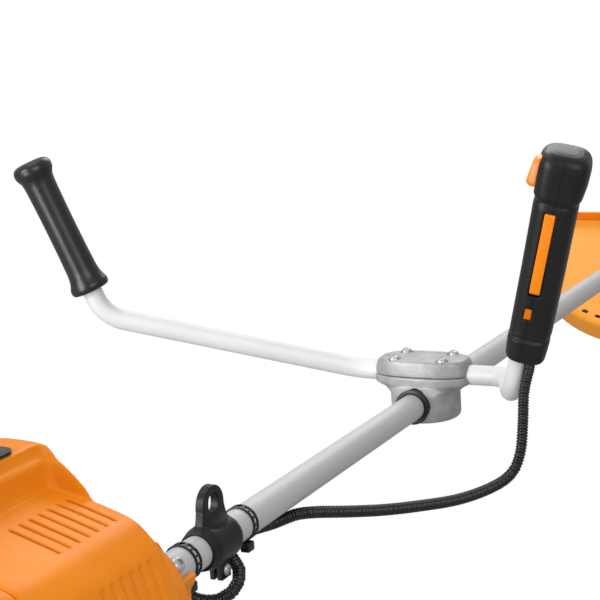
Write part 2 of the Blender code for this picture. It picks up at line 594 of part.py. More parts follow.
def make_starter(look, engine):
    """Rear cover with the recoil starter's round housing; the handle is pulled out to the operator's right."""
    rear, pull_y, pull_z = STARTER_REAR, -123, 27
    cup = [(0, -112.5), (4, -112.5), (4, rear + 3), (46, rear + 3), (54, rear + 10), (54, -96), (57, -96),
           (57, rear + 9), (48, rear), (0, rear)]
    housing = lathe("starter_housing", cup, look["orange"], engine, steps=24)
    rings = [shroud_ring(y, 0, inset) for y, inset in ((SHROUD_REAR - 0.4, 1.2), (-129, 1.2), (-133, 5))]
    cover = loft("rear_cover", rings, None, engine)
    combine(cover, rod("cup_room", 55.5, (0, -100, 0), (0, -150, 0), None, engine, 24))
    combine(housing, cover, "UNION")
    combine(housing, rod("rope_hole", 2.4, (40, pull_y, pull_z), (100, pull_y, pull_z), None, engine, 10))
    for i in range(8):
        angle = 2 * math.pi * (i + 0.5) / 8
        spot = Vector((34 * math.cos(angle), rear + 12, 34 * math.sin(angle)))
        combine(housing, rod("vent_%d" % i, 6, spot, spot + Vector((0, -20, 0)), None, engine, 10))
    pulley = [(4.3, -117), (30, -117), (30, -120), (24, -122), (24, -124), (30, -126), (30, -129), (4.3, -129)]
    lathe("starter_pulley", pulley, look["black"], engine, steps=24)
    rod("starter_rope", 1.7, (32, pull_y, pull_z), (86, pull_y, pull_z), look["rubber"], engine, 8)
    handle = block("starter_handle", (80, -131, 6), (93, -115, 48), look["black"], engine, 4, 2)
    combine(handle, rod("rope_room", 2.1, (70, pull_y, pull_z), (88, pull_y, pull_z), None, engine, 10))


def make_tank(look, engine):
    ground = -SHAFT_HEIGHT
    block("stand", (-74, -118, ground), (74, 36, ground + 7), look["black"], engine, 2)
    tank = block("fuel_tank", (-64, -112, ground + 7.4), (64, 30, -74), look["tank"], engine, 14, 3)
    neck = rod("neck", 13, (42, -4, -80), (42, -4, -66), None, engine, 20)
    combine(tank, neck, "UNION")
    combine(tank, block("fuel_room", (-61, -109, ground + 10.4), (61, 27, -77), None, engine, 11, 2))
    combine(tank, rod("filler", 10.5, (42, -4, -100), (42, -4, -50), None, engine, 18))
    cap = [(0, -58), (15, -58), (17.5, -60), (17.5, -71), (13.4, -71), (13.4, -65.6), (0, -65.6)]
    lathe("fuel_cap", cap, look["black"], engine, (42, -4, 0), (0, 0, 1), 24)


# shroud sections as (x, z) from the lower right, over the vented roof, up the hump and down its left side
REAR_SECTION = ((78, -8), (76, 14), (71.5, 30), (67.5, 46), (61.5, 60), (54.5, 68.5), (45, 76.8), (34, 81.2),
                (10, 88.2), (-14, 95.1), (-18, 98.5), (-19, 106), (-19.5, 114.5), (-23.5, 118), (-25, 122),
                (-29, 126), (-58, 127), (-66, 121), (-69, 108), (-69, 66))
FRONT_SECTION = ((78, -8), (76, 14), (71.5, 28), (67, 46), (61.5, 60), (54.5, 68.5), (45, 77), (34, 81.9),
                 (20, 86.2), (12.4, 88.6), (7, 96.5), (0, 104), (-8, 110.5), (-14, 115), (-19, 121),
                 (-26, 124.6), (-58, 125.6), (-66, 119), (-69, 106), (-69, 66))


def shroud_ring(y, share, inset=0.0, foot=-8):
    """Section at y, share of the way from the rear outline to the front one, moved in by inset all round."""
    outline = [Vector(a).lerp(Vector(b), share) for a, b in zip(REAR_SECTION, FRONT_SECTION)]
    ring = []
    for i, point in enumerate(outline):
        before, after = outline[max(i - 1, 0)], outline[min(i + 1, len(outline) - 1)]
        run = (after - before).normalized()
        x, z = point + Vector((-run.y, run.x)) * inset
        ring.append((x, y, z))
    return [(ring[0][0], y, foot), *ring[1:], (ring[-1][0], y, foot)]


def make_shroud(look, engine):
    """One-piece moulding: front bulkhead round the fan, vented roof, side grooves, hump on the left."""
    rear, front = SHROUD_REAR, SHROUD_FRONT
    rows = ((rear, 0, 2.0), (rear + 4, 0, 0), (front - 10, 0, 0), (front - 5, 0.2, 0), (front - 2.4, 0.7, 0),
            (front - 1, 0.95, 0), (front, 1, 1.4))
    shroud = loft("engine_shroud", [shroud_ring(*row) for row in rows], look["orange"], engine)
    rows = ((rear + 2.4, 0, 2.4), (front - 10, 0, 2.4), (front - 6, 0.15, 2.4), (front - 3, 0.3, 2.6))
    combine(shroud, loft("shroud_room", [shroud_ring(*row, foot=-60) for row in rows], None, engine))
    combine(shroud, block("left_room", (-90, rear - 20, -40), (-34, 60, 71), None, engine))
    combine(shroud, rod("fan_opening", 50.6, (0, -20, 0), (0, 80, 0), None, engine, 32))
    combine(shroud, rod("starter_opening", 57.6, (0, rear - 20, 0), (0, rear + 8, 0), None, engine, 32))
    combine(shroud, rod("outlet_opening", 8, (60, CYLINDER_Y, 12), (90, CYLINDER_Y, 12), None, engine, 16))
    lean = Matrix.Rotation(math.atan(0.29), 4, "Y").to_quaternion()
    for i in range(7):
        y = -59 + i * 10
        combine(shroud, block("louvre_%d" % i, (-20, y - 1.4, -9), (20, y + 1.4, 9), None, engine,
                              pivot=(17, 0, 86), turn=lean))


# ---------------------------------------------------------------- gearbox, guard and line head
def bevel_ring(teeth, half_angle, distance, shrink):
    """Tooth ring of a bevel gear at a cone distance, kept just inside its pitch cone."""
    tip = distance * math.sin(half_angle) - shrink
    return star(teeth, tip - 1.8, tip, distance * math.cos(half_angle))


def make_head(look, root):
    tilt = Matrix.Rotation(math.radians(HEAD_TILT), 4, "X").to_quaternion()
    head = frame("head_frame", (0, HEAD_Y, SHAFT_HEIGHT), tilt, root)
    straight = frame("gearbox_frame", (0, HEAD_Y, SHAFT_HEIGHT), None, root)
    body = [(0, 34), (15, 34), (23, 28), (24, 10), (24, -18), (20, -26), (20, -40), (6.6, -40), (6.6, -12),
            (17.5, -12), (17.5, 26), (0, 28)]
    gearbox = lathe("gearbox_housing", body, look["cast"], head, (0, 0, 0), (0, 0, 1), 20)
    socket = [(0, -14), (18, -14), (18, -62), (0, -62)]
    combine(gearbox, lathe("tube_socket", socket, None, straight, steps=24), "UNION")
    combine(gearbox, rod("tube_seat", TUBE_R + GAP, (0, -90, 0), (0, -24.5, 0), None, straight, 24))
    combine(gearbox, rod("pinion_room", 12.2, (0, -40, 0), (0, -2, 0), None, straight, 20))
    combine(gearbox, rod("gear_room", 17.8, (0, 0, -12.4), (0, 0, 25.6), None, head, 28))
    angle = math.radians(90 - HEAD_TILT)
    pinion_half = math.atan2(math.sin(angle), GEAR_TEETH / PINION_TEETH + math.cos(angle))
    gear_half = angle - pinion_half
    rings = [bevel_ring(PINION_TEETH, pinion_half, d, 0.6) for d in (19, 25)]
    hub = [[(x * 0.5, y * 0.5, 34) for x, y, _ in rings[1]]]
    hub.insert(0, [(x * 0.5, y * 0.5, rings[1][0][2]) for x, y, _ in rings[1]])
    loft("pinion_gear", rings + hub, look["steel"], straight, (0, 0, 0), along((0, -1, 0)))
    rings = [bevel_ring(GEAR_TEETH, gear_half, d, 0.6) for d in (19, 25)]
    lowest = rings[0][0][2]
    hub = [[(x * 0.6, y * 0.6, height) for x, y, _ in rings[0]] for height in (11.3, lowest)]
    output = loft("output_shaft", hub + rings, look["steel"], head)
    stem = [(0, 12), (6, 12), (6, -41), (24, -41), (25, -44), (25, -50), (6, -50), (6, -66), (0, -66)]
    combine(output, lathe("stem", stem, None, head, axis=(0, 0, 1), steps=24), "UNION")
    cup = [(6.3, -50.3), (30, -50.3), (50, -56), (55, -62), (55, -88), (52, -88), (52, -63), (48, -59.5),
           (28, -54.5), (12, -54.5), (12, -68), (6.3, -68)]
    housing = lathe("head_housing", cup, look["black"], head, axis=(0, 0, 1), steps=24)
    combine(housing, rod("line_exits", 3, (-70, 0, -74), (70, 0, -74), None, head, 12))
    knob = [(12.6, -65), (47, -65), (47, -67), (20, -67), (20, -82), (49, -82), (49, -88), (26, -92),
            (24, -104), (18, -108), (0, -108), (0, -74), (12.6, -74)]
    lathe("bump_knob", knob, look["black"], head, axis=(0, 0, 1), steps=20)
    return head, straight


def make_guard(look, head, straight):
    front = 50.0
    top = -12.0
    rim_low = -(SHAFT_HEIGHT - GUARD_R * 0.5) / math.cos(math.radians(HEAD_TILT))
    turn = math.degrees(math.asin(front / GUARD_R))
    outline = arc(GUARD_R, 180 - turn, 360 + turn, 33)
    hole = circle(24.8, 24)
    guard = plate("guard", [outline, hole], 3, look["orange"], head, (0, 0, top - 1.5))
    skirt_inner = arc(GUARD_R - 3, 360 + turn, 180 - turn, 33)
    skirt = plate("skirt", [outline + skirt_inner], top - 1 - rim_low, None, head, (0, 0, (top - 1 + rim_low) / 2))
    combine(guard, skirt, "UNION")
    lip = block("lip", (-207, front - 3.2, top - 2), (207, front, top + 16), None, head)
    combine(guard, lip, "UNION")
    ring = [(20, -4), (32, -4), (32, -11.7), (20, -11.7)]
    bracket = lathe("guard_bracket", ring, look["black"], head, axis=(0, 0, 1), steps=24)
    wings = block("wings", (-60, -34, -11.7), (60, -12, -7), None, head, 1)
    combine(bracket, wings, "UNION")
    combine(bracket, rod("box_room", 24.6, (0, 0, -18), (0, 0, 10), None, head, 24))
    combine(bracket, rod("socket_room", 18.6, (0, -90, 0), (0, 0, 0), None, straight, 24))
    block("line_cutter", (206.5, -12, -78), (208.5, 12, -20), look["steel"], head)
    for name, side in (("line_end_right", 1), ("line_end_left", -1)):
        rod(name, 1.2, (side * 24, 0, -74), (side * 203, 0, -74), look["black"], head, 8)


def main():
    empty_scene()
    look = make_finishes()
    root = frame("string_trimmer_frame", (0, 0, 0))
    make_shaft(look, root)
    clamp = frame("clamp_frame", (0, CLAMP_Y, SHAFT_HEIGHT), None, root)
    make_handlebar(look, clamp)
    make_clamp(look, clamp)
    make_left_grip(look, clamp)
    grip = make_throttle_grip(look, clamp)
    make_conduit(look, clamp, grip)
    make_hanger(look, clamp)
    engine = frame("engine_frame", (0, 0, SHAFT_HEIGHT), None, root)
    make_engine_front(look, engine)
    make_engine_core(look, engine)
    make_intake(look, engine)
    make_starter(look, engine)
    make_tank(look, engine)
    make_shroud(look, engine)
    head, straight = make_head(look, root)
    make_guard(look, head, straight)
    bpy.context.view_layer.update()


main()
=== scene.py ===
"""Looks of the string trimmer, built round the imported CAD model. The functions take millimetres."""
import math

import bmesh
import bpy
from mathutils import Matrix, Vector


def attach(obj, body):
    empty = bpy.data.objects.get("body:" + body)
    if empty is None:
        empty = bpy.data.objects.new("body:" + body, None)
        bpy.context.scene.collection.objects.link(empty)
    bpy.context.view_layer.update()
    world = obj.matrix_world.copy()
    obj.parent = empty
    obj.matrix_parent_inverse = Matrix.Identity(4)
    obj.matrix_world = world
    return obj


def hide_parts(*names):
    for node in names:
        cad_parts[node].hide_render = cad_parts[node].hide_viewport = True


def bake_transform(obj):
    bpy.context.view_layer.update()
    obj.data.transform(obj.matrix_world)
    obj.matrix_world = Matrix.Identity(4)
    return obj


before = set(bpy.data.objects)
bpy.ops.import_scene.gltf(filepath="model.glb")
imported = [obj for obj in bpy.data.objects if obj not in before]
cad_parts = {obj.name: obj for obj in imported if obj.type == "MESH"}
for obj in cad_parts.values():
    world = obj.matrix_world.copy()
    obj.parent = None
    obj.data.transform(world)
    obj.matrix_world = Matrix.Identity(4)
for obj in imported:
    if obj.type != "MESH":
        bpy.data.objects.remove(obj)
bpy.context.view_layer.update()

MM = 0.001
SHAFT_Z = 150
CLAMP_Y = 600
HEAD_Y = 1622
HEAD_TILT = 30
TUBE_R = 13
BAR_R = 10
CONDUIT_R = 5.25

ROOT = Matrix.Identity(4)
CLAMP = Matrix.Translation((0, CLAMP_Y, SHAFT_Z))
ENGINE = Matrix.Translation((0, 0, SHAFT_Z))
STRAIGHT = Matrix.Translation((0, HEAD_Y, SHAFT_Z))
HEAD = STRAIGHT @ Matrix.Rotation(math.radians(HEAD_TILT), 4, "X")

LEFT_BEND = Vector((-72, 0, 27))
LEFT_ELBOW = Vector((-296, -124, 100))
LEFT_UP = Vector((-0.312, -0.166, 0.935)).normalized()
RIGHT_BEND = Vector((88, 0, 27))
RIGHT_ELBOW = Vector((109, -50, 21))
RIGHT_UP = Vector((0.278, -0.168, 0.946)).normalized()
LEFT_GRIP_START = 30
THROTTLE_START = 46
THROTTLE_TURN = 13
forward = (Vector((0, 1, 0)) - RIGHT_UP * RIGHT_UP.y).normalized()
upright = Matrix((forward.cross(RIGHT_UP), forward, RIGHT_UP)).transposed()
turn = upright @ Matrix.Rotation(math.radians(THROTTLE_TURN), 3, "Z")
GRIP = CLAMP @ Matrix.Translation(RIGHT_ELBOW + RIGHT_UP * THROTTLE_START) @ turn.to_4x4()


# ---------------------------------------------------------------- materials
def finish(name, dark, light, rough, metallic=0.0, patch=14.0, grain=1100.0, bump=0.12, stretch=(1, 1, 1),
           spread=0.05, specular=0.35, coat=0.0, depth=0.00025):
    """Colour drifts between dark and light in soft patches; the grain drives roughness and bump."""
    made = bpy.data.materials.new(name)
    made.use_nodes = True
    nodes, links = made.node_tree.nodes, made.node_tree.links
    shader = nodes["Principled BSDF"]
    coords = nodes.new("ShaderNodeTexCoord")
    scale = nodes.new("ShaderNodeMapping")
    scale.inputs["Scale"].default_value = stretch
    links.new(coords.outputs["Object"], scale.inputs["Vector"])
    soft = nodes.new("ShaderNodeTexNoise")
    soft.inputs["Scale"].default_value = patch
    soft.inputs["Detail"].default_value = 5
    fine = nodes.new("ShaderNodeTexNoise")
    fine.inputs["Scale"].default_value = grain
    fine.inputs["Detail"].default_value = 3
    for noise in (soft, fine):
        links.new(scale.outputs["Vector"], noise.inputs["Vector"])
    share = nodes.new("ShaderNodeMapRange")
    share.inputs["From Min"].default_value = 0.3
    share.inputs["From Max"].default_value = 0.7
    links.new(soft.outputs["Fac"], share.inputs["Value"])
    mix = nodes.new("ShaderNodeMix")
    mix.data_type = "RGBA"
    mix.inputs[6].default_value = (*dark, 1)
    mix.inputs[7].default_value = (*light, 1)
    links.new(share.outputs["Result"], mix.inputs[0])
    links.new(mix.outputs[2], shader.inputs["Base Color"])
    rougher = nodes.new("ShaderNodeMapRange")
    rougher.inputs["From Min"].default_value = 0.3
    rougher.inputs["From Max"].default_value = 0.7
    rougher.inputs["To Min"].default_value = rough - spread
    rougher.inputs["To Max"].default_value = rough + spread
    links.new(fine.outputs["Fac"], rougher.inputs["Value"])
    links.new(rougher.outputs["Result"], shader.inputs["Roughness"])
    relief = nodes.new("ShaderNodeBump")
    relief.inputs["Strength"].default_value = bump
    relief.inputs["Distance"].default_value = depth
    links.new(fine.outputs["Fac"], relief.inputs["Height"])
    links.new(relief.outputs["Normal"], shader.inputs["Normal"])
    shader.inputs["Metallic"].default_value = metallic
    shader.inputs["Specular IOR Level"].default_value = specular
    shader.inputs["Coat Weight"].default_value = coat
    shader.inputs["Coat Roughness"].default_value = 0.12
    return made


orange = finish("orange_moulding", (0.70, 0.185, 0.005), (0.78, 0.235, 0.008), 0.36, grain=1500, bump=0.08,
                specular=0.14)
# Darker, redder orange: painted shade, used in the throttle window's recess and under the shroud's louvre
# grooves
orange_painted_shade = finish("orange_painted_shade", (0.56, 0.125, 0.003), (0.64, 0.155, 0.005), 0.55, grain=1200, bump=0.10,
                     specular=0.1)
orange_gloss = finish("orange_gloss", (0.74, 0.19, 0.005), (0.82, 0.23, 0.008), 0.26, grain=900, bump=0.04,
                      specular=0.2, coat=0.12)
# Guard plate orange, lighter and paler than the lip's orange of the same plastic: painted sheen on the upward
# face
orange_painted_sheen = finish("orange_painted_sheen", (0.76, 0.29, 0.030), (0.84, 0.34, 0.042), 0.36, patch=5,
                      grain=900, bump=0.05, specular=0.15)
orange_pad = finish("orange_pad", (0.80, 0.30, 0.12), (0.86, 0.35, 0.16), 0.34, grain=900, bump=0.06,
                    specular=0.2)
orange_paint = finish("orange_paint", (0.68, 0.19, 0.008), (0.78, 0.24, 0.012), 0.42, grain=700, bump=0.22,
                      specular=0.15)
black = finish("black_moulding", (0.006, 0.006, 0.0065), (0.010, 0.010, 0.0105), 0.40, grain=1300, bump=0.20,
               specular=0.26)
rubber = finish("black_rubber", (0.006, 0.006, 0.006), (0.010, 0.010, 0.010), 0.33, grain=1000, bump=0.12,
                specular=0.45)
band = finish("black_band", (0.006, 0.006, 0.007), (0.012, 0.012, 0.013), 0.36, grain=900, bump=0.12)
badge = finish("badge_black", (0.006, 0.006, 0.007), (0.012, 0.012, 0.013), 0.26, grain=900, bump=0.03)
silver = finish("satin_tube", (0.42, 0.42, 0.425), (0.47, 0.47, 0.475), 0.52, 0.15, patch=6, grain=900,
                bump=0.05, stretch=(1, 0.05, 1), spread=0.04)
pale = finish("pale_bar", (0.58, 0.58, 0.585), (0.64, 0.64, 0.64), 0.46, 0.05, patch=8, grain=900, bump=0.05,
              spread=0.04)
cast = finish("cast_grey", (0.25, 0.25, 0.255), (0.37, 0.37, 0.375), 0.46, 0.3, patch=70, grain=850,
              bump=0.35, spread=0.09)
steel = finish("dull_steel", (0.42, 0.41, 0.40), (0.52, 0.52, 0.52), 0.36, 0.9, patch=40, grain=700,
               bump=0.12, spread=0.08)
bright = finish("bright_screw", (0.40, 0.40, 0.41), (0.50, 0.50, 0.51), 0.34, 0.6, patch=60, grain=900,
                bump=0.06)
tank_plastic = finish("milky_tank", (0.62, 0.60, 0.54), (0.72, 0.71, 0.66), 0.36, patch=12, grain=900,
                      bump=0.10)
ceramic = finish("plug_ceramic", (0.74, 0.73, 0.70), (0.82, 0.82, 0.80), 0.18, grain=600, bump=0.04)
dark_steel = finish("sooty_steel", (0.16, 0.155, 0.15), (0.27, 0.265, 0.26), 0.5, 0.8, patch=30, grain=600,
                    bump=0.3, spread=0.1)


# ---------------------------------------------------------------- shapes
def link(name, points, faces, where):
    mesh = bpy.data.meshes.new(name)
    mesh.from_pydata([(where @ Vector(p)) * MM for p in points], [], faces)
    shape = bmesh.new()
    shape.from_mesh(mesh)
    bmesh.ops.recalc_face_normals(shape, faces=shape.faces)
    shape.to_mesh(mesh)
    shape.free()
    obj = bpy.data.objects.new(name, mesh)
    bpy.context.scene.collection.objects.link(obj)
    return obj


def along(axis):
    return Vector((0, 0, 1)).rotation_difference(Vector(axis).normalized()).to_matrix().to_4x4()


def rounded(profile, reach, steps=4):
    """Softens each inner corner of a run of points with a short curve."""
    spots = [Vector(p) for p in profile]
    path = [spots[0]]
    for before, corner, after in zip(spots, spots[1:], spots[2:]):
        u, v = before - corner, after - corner
        limit = min(reach, u.length * 0.45, v.length * 0.45)
        start, end = corner + u.normalized() * limit, corner + v.normalized() * limit
        for i in range(steps + 1):
            t = i / steps
            path.append(start * (1 - t) ** 2 + corner * 2 * t * (1 - t) + end * t**2)
    return path + [spots[-1]]


def revolve(name, profile, where, at=(0, 0, 0), axis=(0, 1, 0), steps=72, soft=0.0, loop=None):
    """Turned piece from (radius, height) points; a profile that starts off the axis closes on itself."""
    loop = profile[0][0] > 0 if loop is None else loop
    if loop:
        middle = ((profile[0][0] + profile[-1][0]) / 2, (profile[0][1] + profile[-1][1]) / 2)
        profile = [middle, *profile, middle]
    if soft:
        profile = rounded(profile, soft)
    if loop:
        profile = profile[:-1]
    points, rows = [], []
    for r, h in profile:
        if r < 1e-6:
            rows.append([len(points)] * steps)
            points.append((0, 0, h))
            continue
        rows.append([len(points) + i for i in range(steps)])
        for i in range(steps):
            angle = 2 * math.pi * i / steps
            points.append((r * math.cos(angle), r * math.sin(angle), h))
    pairs = list(zip(rows, rows[1:])) + ([(rows[-1], rows[0])] if loop else [])
    faces = []
    for low, high in pairs:
        for i in range(steps):
            j = (i + 1) % steps
            face = list(dict.fromkeys((low[i], low[j], high[j], high[i])))
            if len(face) > 2:
                faces.append(face)
    return link(name, points, faces, where @ Matrix.Translation(at) @ along(axis))


def skin(name, rings, where):
    """Closed surface through rings of equally many points."""
    count = len(rings[0])
    points = [p for ring in rings for p in ring]
    faces = [tuple(range(count)), tuple(range(len(points) - count, len(points)))]
    for row in range(len(rings) - 1):
        for i in range(count):
            a, b = row * count + i, row * count + (i + 1) % count
            faces.append((a, b, b + count, a + count))
    return link(name, points, faces, where)


def sweep(name, path, radius, where=ROOT, sides=24, ribs=None):
    """Round tube along the path; ribs is (pitch, depth) for a corrugated hose."""
    spots = [Vector(p) for p in path]
    ahead = [(b - a).normalized() for a, b in zip(spots, spots[1:])]
    ahead = [ahead[0]] + [(a + b).normalized() for a, b in zip(ahead, ahead[1:])] + [ahead[-1]]
    side = ahead[0].orthogonal().normalized()
    rings, travelled = [], 0.0
    for i, (spot, way) in enumerate(zip(spots, ahead)):
        side = (side - way * side.dot(way)).normalized()
        other = way.cross(side)
        travelled += (spot - spots[i - 1]).length if i else 0
        size = radius
        if ribs:
            size -= ribs[1] * (0.5 - 0.5 * math.cos(2 * math.pi * travelled / ribs[0])) ** 2
        angles = [2 * math.pi * k / sides for k in range(sides)]
        rings.append([spot + (side * math.cos(a) + other * math.sin(a)) * size for a in angles])
    return skin(name, rings, where)


def box(name, low, high, where, at=(0, 0, 0), turned=None):
    points = [(x, y, z) for x in (low[0], high[0]) for y in (low[1], high[1]) for z in (low[2], high[2])]
    faces = [(0, 1, 3, 2), (4, 6, 7, 5), (0, 4, 5, 1), (2, 3, 7, 6), (0, 2, 6, 4), (1, 5, 7, 3)]
    return link(name, points, faces, where @ Matrix.Translation(at) @ (turned or ROOT))


def prism(name, outline, low, high, where, hole=None):
    """Outline in local XY between two heights, with an optional hole."""
    rings = [[(x, y, z) for x, y in outline] for z in (low, high)]
    made = skin(name, rings, where)
    if hole:
        cut(made, skin(name + "_hole", [[(x, y, z) for x, y in hole] for z in (low - 5, high + 5)], where))
    return made


def rod(name, radius, start, end, where, steps=32):
    a, b = Vector(start), Vector(end)
    length = (b - a).length
    return revolve(name, [(0, 0), (radius, 0), (radius, length), (0, length)], where, a, b - a, steps)


def bake(obj):
    """Applies every modifier."""
    bpy.context.view_layer.update()
    mesh = bpy.data.meshes.new_from_object(obj.evaluated_get(bpy.context.evaluated_depsgraph_get()))
    obj.modifiers.clear()
    obj.data = mesh
    return obj


def cut(obj, *tools, operation="DIFFERENCE"):
    for tool in tools:
        step = obj.modifiers.new("cut", "BOOLEAN")
        step.operation = operation
        step.solver = "EXACT"
        step.object = tool
    bake(obj)
    for tool in tools:
        bpy.data.objects.remove(tool, do_unlink=True)
    return obj


def join(obj, *others):
    return cut(obj, *others, operation="UNION")


def melt(obj, voxel=0.9, passes=4, keep=0.45):
    """Moulded look: every edge and inner corner comes out slightly rounded."""
    grid = obj.modifiers.new("grid", "REMESH")
    grid.mode = "VOXEL"
    grid.voxel_size = voxel * MM
    soften = obj.modifiers.new("soften", "SMOOTH")
    soften.factor = 0.5
    soften.iterations = passes
    thin = obj.modifiers.new("thin", "DECIMATE")
    thin.ratio = keep
    return bake(obj)


def bevel(obj, width, segments=3, angle=30):
    step = obj.modifiers.new("edges", "BEVEL")
    step.width = width * MM
    step.segments = segments
    step.limit_method = "ANGLE"
    step.angle_limit = math.radians(angle)
    step.harden_normals = False
    return bake(obj)


def done(obj, look, body, *nodes, slot=None, sharp=34):
    """Material, shading, the body that the piece rides on and the nodes that it stands for."""
    obj.data.materials.clear()
    obj.data.materials.append(look)
    for face in obj.data.polygons:
        face.use_smooth = True
        face.material_index = 0
    obj.data.set_sharp_from_angle(angle=math.radians(sharp))
    if body:
        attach(obj, body)
    if nodes:
        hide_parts(*nodes)
    return obj


def dress(node, look, width=0.8):
    """A CAD node that stays: better material, softened edges."""
    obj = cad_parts[node]
    obj.data.materials.clear()
    obj.data.materials.append(look)
    for face in obj.data.polygons:
        face.use_smooth = True
    obj.data.set_sharp_from_angle(angle=math.radians(34))
    if width:
        step = obj.modifiers.new("edges", "BEVEL")
        step.width = width * MM
        step.segments = 2
        step.limit_method = "ANGLE"
        step.angle_limit = math.radians(40)


def circle(radius, count=48, centre=(0, 0), start=0.0):
    angles = [start + 2 * math.pi * i / count for i in range(count)]
    return [(centre[0] + radius * math.cos(a), centre[1] + radius * math.sin(a)) for a in angles]


def arc(radius, start, end, count, centre=(0, 0)):
    angles = [math.radians(start + (end - start) * i / (count - 1)) for i in range(count)]
    return [(centre[0] + radius * math.cos(a), centre[1] + radius * math.sin(a)) for a in angles]


def oval(half_x, half_y, power, count=72):
    outline = []
    for i in range(count):
        c, s = math.cos(2 * math.pi * i / count), math.sin(2 * math.pi * i / count)
        x = half_x * math.copysign(abs(c) ** (2 / power), c)
        y = half_y * math.copysign(abs(s) ** (2 / power), s)
        outline.append((x, y))
    return outline


def curve_through(points, spacing):
    """Catmull-Rom curve with a point about every spacing."""
    spots = [Vector(p) for p in points]
    spots = [2 * spots[0] - spots[1]] + spots + [2 * spots[-1] - spots[-2]]
    path = [spots[1]]
    for p0, p1, p2, p3 in zip(spots, spots[1:], spots[2:], spots[3:]):
        steps = max(1, round((p2 - p1).length / spacing))
        for i in range(1, steps + 1):
            t = i / steps
            path.append(0.5 * (2 * p1 + (p2 - p0) * t + (2 * p0 - 5 * p1 + 4 * p2 - p3) * t**2
                               + (3 * p1 - p0 - 3 * p2 + p3) * t**3))
    return path


def filleted(corners, radii, steps=20):
    path = [Vector(corners[0])]
    for before, corner, after, radius in zip(corners, corners[1:], corners[2:], radii):
        before, corner, after = Vector(before), Vector(corner), Vector(after)
        u, v = (before - corner).normalized(), (after - corner).normalized()
        half = u.angle(v) / 2
        reach = radius / math.tan(half)
        centre = corner + (u + v).normalized() * (radius / math.sin(half))
        start, end = corner + u * reach - centre, corner + v * reach - centre
        swing = start.angle(end)
        for i in range(steps + 1):
            t = swing * i / steps
            path.append(centre + (start * math.sin(swing - t) + end * math.sin(t)) / math.sin(swing))
    path.append(Vector(corners[-1]))
    return path


def button_screw(name, radius, height, length, where, at, axis, body, node, look=None):
    """Button head with a hexagon socket."""
    dome = [(0, 1), (0.45, 1), (0.72, 0.86), (0.92, 0.5), (1, 0.12), (1, 0)]
    shank = [(radius * 0.5, 0), (radius * 0.5, -length), (0, -length)]
    profile = [(radius * share, height * rise) for share, rise in dome] + shank
    screw = revolve(name, profile, where, at, axis, 40, 0.3, False)
    base = where @ Matrix.Translation(at) @ along(axis)
    rings = [[(x, y, z) for x, y in circle(radius * 0.42, 6)] for z in (height * 0.3, height + 5)]
    cut(screw, skin(name + "_socket", rings, base))
    return done(screw, look or bright, body, node, slot="bright_screw", sharp=28)


# ---------------------------------------------------------------- shaft, handlebar, grips
def shaft_and_bar():
    tube = [(TUBE_R - 1.5, 92), (TUBE_R, 92), (TUBE_R, 1596), (TUBE_R - 1.5, 1596)]
    done(revolve("tube_skin", tube, ENGINE, steps=96, soft=0.4), silver, "frame", "shaft_tube",
         slot="satin_aluminium")
    corners = [LEFT_ELBOW + LEFT_UP * 160, LEFT_ELBOW, LEFT_BEND, RIGHT_BEND, RIGHT_ELBOW,
               RIGHT_ELBOW + RIGHT_UP * 160]
    bar = sweep("bar_skin", filleted(corners, (42, 60, 24, 27)), BAR_R, CLAMP, 56)
    done(bar, pale, "frame", "handlebar", slot="satin_aluminium")
    profile = [(0, 142.5), (8, 142.4), (13.5, 141.8), (17.6, 140), (19.6, 136.8), (20, 133), (19.4, 129.5),
               (17.9, 126.8), (16.6, 124), (15.9, 119), (15.6, 110), (15.2, 90), (15.1, 70), (15.2, 45),
               (15.7, 22), (16.6, 15), (18.4, 10), (19.8, 7), (20, 4), (19, 1), (17, 0), (10.2, 0),
               (10.2, 132), (0, 132)]
    start = LEFT_ELBOW + LEFT_UP * LEFT_GRIP_START
    grip = revolve("left_grip_skin", profile, CLAMP, start, LEFT_UP, 80, 1.6, False)
    done(grip, rubber, "frame", "left_grip", slot="black_rubber", sharp=50)


# height, half width, half depth, shift to the right, shift forward
GRIP_SECTIONS = (
    (0.0, 13.4, 12.6, 4.5, -2.5), (0.6, 15.4, 14.4, 4.5, -2.5), (2.2, 17.2, 16.4, 4.5, -2.5),
    (5.0, 18.4, 17.6, 4.5, -2.5), (14.0, 19.1, 18.2, 4.5, -2.3), (21.5, 19.5, 18.6, 4.5, -2.1),
    (23.6, 19.4, 18.5, 4.5, -2.0), (24.8, 18.7, 17.8, 4.5, -1.6), (26.0, 18.2, 17.4, 4.6, -1.2),
    (27.2, 18.8, 18.1, 4.6, -0.8), (29.0, 19.3, 18.7, 4.7, -0.3), (31.0, 19.4, 18.8, 4.8, 0.0),
    (60.0, 19.6, 19.0, 4.8, 0.0), (90.0, 19.8, 19.2, 4.8, 0.0), (125.0, 20.0, 19.8, 4.5, 0.5),
    (153.0, 20.2, 20.4, 4.2, 1.0), (156.5, 20.2, 20.4, 4.2, 1.2), (158.2, 19.7, 19.8, 4.2, 1.4),
    (159.6, 19.2, 19.3, 4.2, 1.5), (161.0, 19.6, 19.7, 4.2, 1.8), (162.4, 20.7, 20.8, 4.3, 2.2),
    (164.5, 21.7, 21.8, 4.3, 2.6), (170.0, 22.5, 23.2, 4.4, 4.2), (176.0, 23.2, 24.4, 4.6, 5.5),
    (182.0, 23.4, 25.1, 4.7, 6.2), (188.0, 23.4, 25.4, 4.8, 6.5), (193.0, 23.1, 25.2, 4.7, 6.5),
    (197.0, 22.3, 24.3, 4.6, 6.5), (200.0, 20.8, 22.6, 4.5, 6.3), (202.3, 18.2, 20.2, 4.5, 6.1),
    (203.8, 14.6, 16.4, 4.4, 6.0), (204.7, 9.6, 11.0, 4.4, 6.0), (205.0, 4.5, 5.4, 4.4, 6.0),
)


